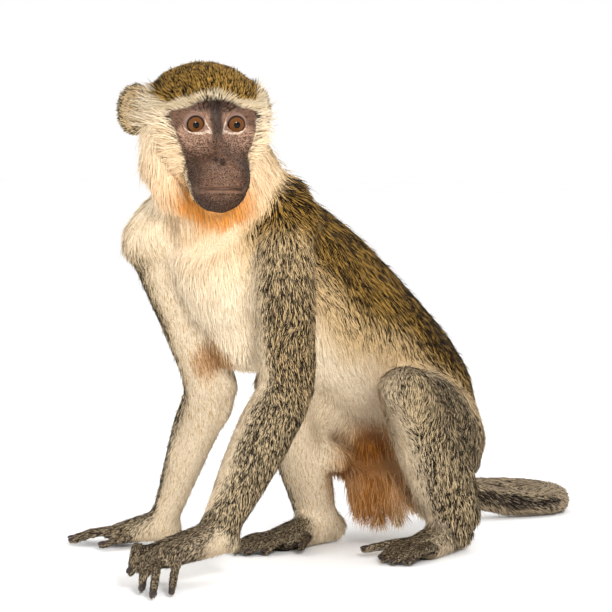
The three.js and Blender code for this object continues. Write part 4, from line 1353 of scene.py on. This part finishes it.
class MONKEY_OT_stage(bpy.types.Operator):
    """Sets up floor, lights and camera"""

    bl_idname = "monkey.stage"
    bl_label = "Stage"

    def execute(self, context):
        scene = context.scene
        scene.view_settings.view_transform = "Standard"
        world = bpy.data.worlds.new("studio")
        world.use_nodes = True
        world.node_tree.nodes["Background"].inputs["Color"].default_value = (1, 1, 1, 1)
        world.node_tree.nodes["Background"].inputs["Strength"].default_value = 1.0
        scene.world = world
        corners = np.array([(-1, -1, 0), (1, -1, 0), (1, 1, 0), (-1, 1, 0)]) * FLOOR_REACH
        floor_mesh = new_mesh("floor", corners, np.array([(0, 1, 2), (0, 2, 3)]))
        floor_material = bpy.data.materials.new("floor")
        floor_material.use_nodes = True
        shader = floor_material.node_tree.nodes["Principled BSDF"]
        shader.inputs["Base Color"].default_value = (1, 1, 1, 1)
        shader.inputs["Roughness"].default_value = 0.9
        floor_mesh.materials.append(floor_material)
        floor = bpy.data.objects.new("floor", floor_mesh)
        scene.collection.objects.link(floor)
        for place, size, power in LAMPS:
            lamp = bpy.data.lights.new("lamp", "AREA")
            lamp.energy = power
            lamp.size = size
            light = bpy.data.objects.new("lamp", lamp)
            light.location = place
            light.rotation_euler = (Vector(LIT_POINT) - Vector(place)).to_track_quat("-Z", "Y").to_euler()
            scene.collection.objects.link(light)
        camera_data = bpy.data.cameras.new("camera")
        camera_data.lens = LENS
        camera_data.sensor_width = 36
        camera_data.clip_end = 50
        camera = bpy.data.objects.new("camera", camera_data)
        camera.location = in_pose(CAMERA_PLACE)
        camera.rotation_euler = (math.pi / 2 - CAMERA_PITCH, 0, CAMERA_AZIMUTH)
        scene.collection.objects.link(camera)
        scene.camera = camera
        return {"FINISHED"}


class MONKEY_PT_panel(bpy.types.Panel):
    """The monkey's sizes, colours and pieces"""

    bl_label = "Monkey"
    bl_idname = "MONKEY_PT_panel"
    bl_space_type = "VIEW_3D"
    bl_region_type = "UI"
    bl_category = "Monkey"

    def draw(self, context):
        for group in (context.scene.monkey_sizes, context.scene.monkey_colours):
            for key in group.__annotations__:
                self.layout.prop(group, key)
        for operator in OPERATORS:
            self.layout.operator(operator.bl_idname)


OPERATORS = (
    MONKEY_OT_skin, MONKEY_OT_eyes, MONKEY_OT_nails, MONKEY_OT_head_coat, MONKEY_OT_body_coat, MONKEY_OT_stage
)
CLASSES = (MonkeySizes, MonkeyColours) + OPERATORS + (MONKEY_PT_panel,)


def register():
    for item in CLASSES:
        bpy.utils.register_class(item)
    bpy.types.Scene.monkey_sizes = bpy.props.PointerProperty(type=MonkeySizes)
    bpy.types.Scene.monkey_colours = bpy.props.PointerProperty(type=MonkeyColours)


def unregister():
    del bpy.types.Scene.monkey_colours
    del bpy.types.Scene.monkey_sizes
    for item in reversed(CLASSES):
        bpy.utils.unregister_class(item)


def main():
    register()
    for operator in OPERATORS:
        group, name = operator.bl_idname.split(".")
        if getattr(getattr(bpy.ops, group), name)() != {"FINISHED"}:
            raise RuntimeError(f"{operator.bl_idname} didn't finish")
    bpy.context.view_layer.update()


if __name__ == "__main__":
    main()
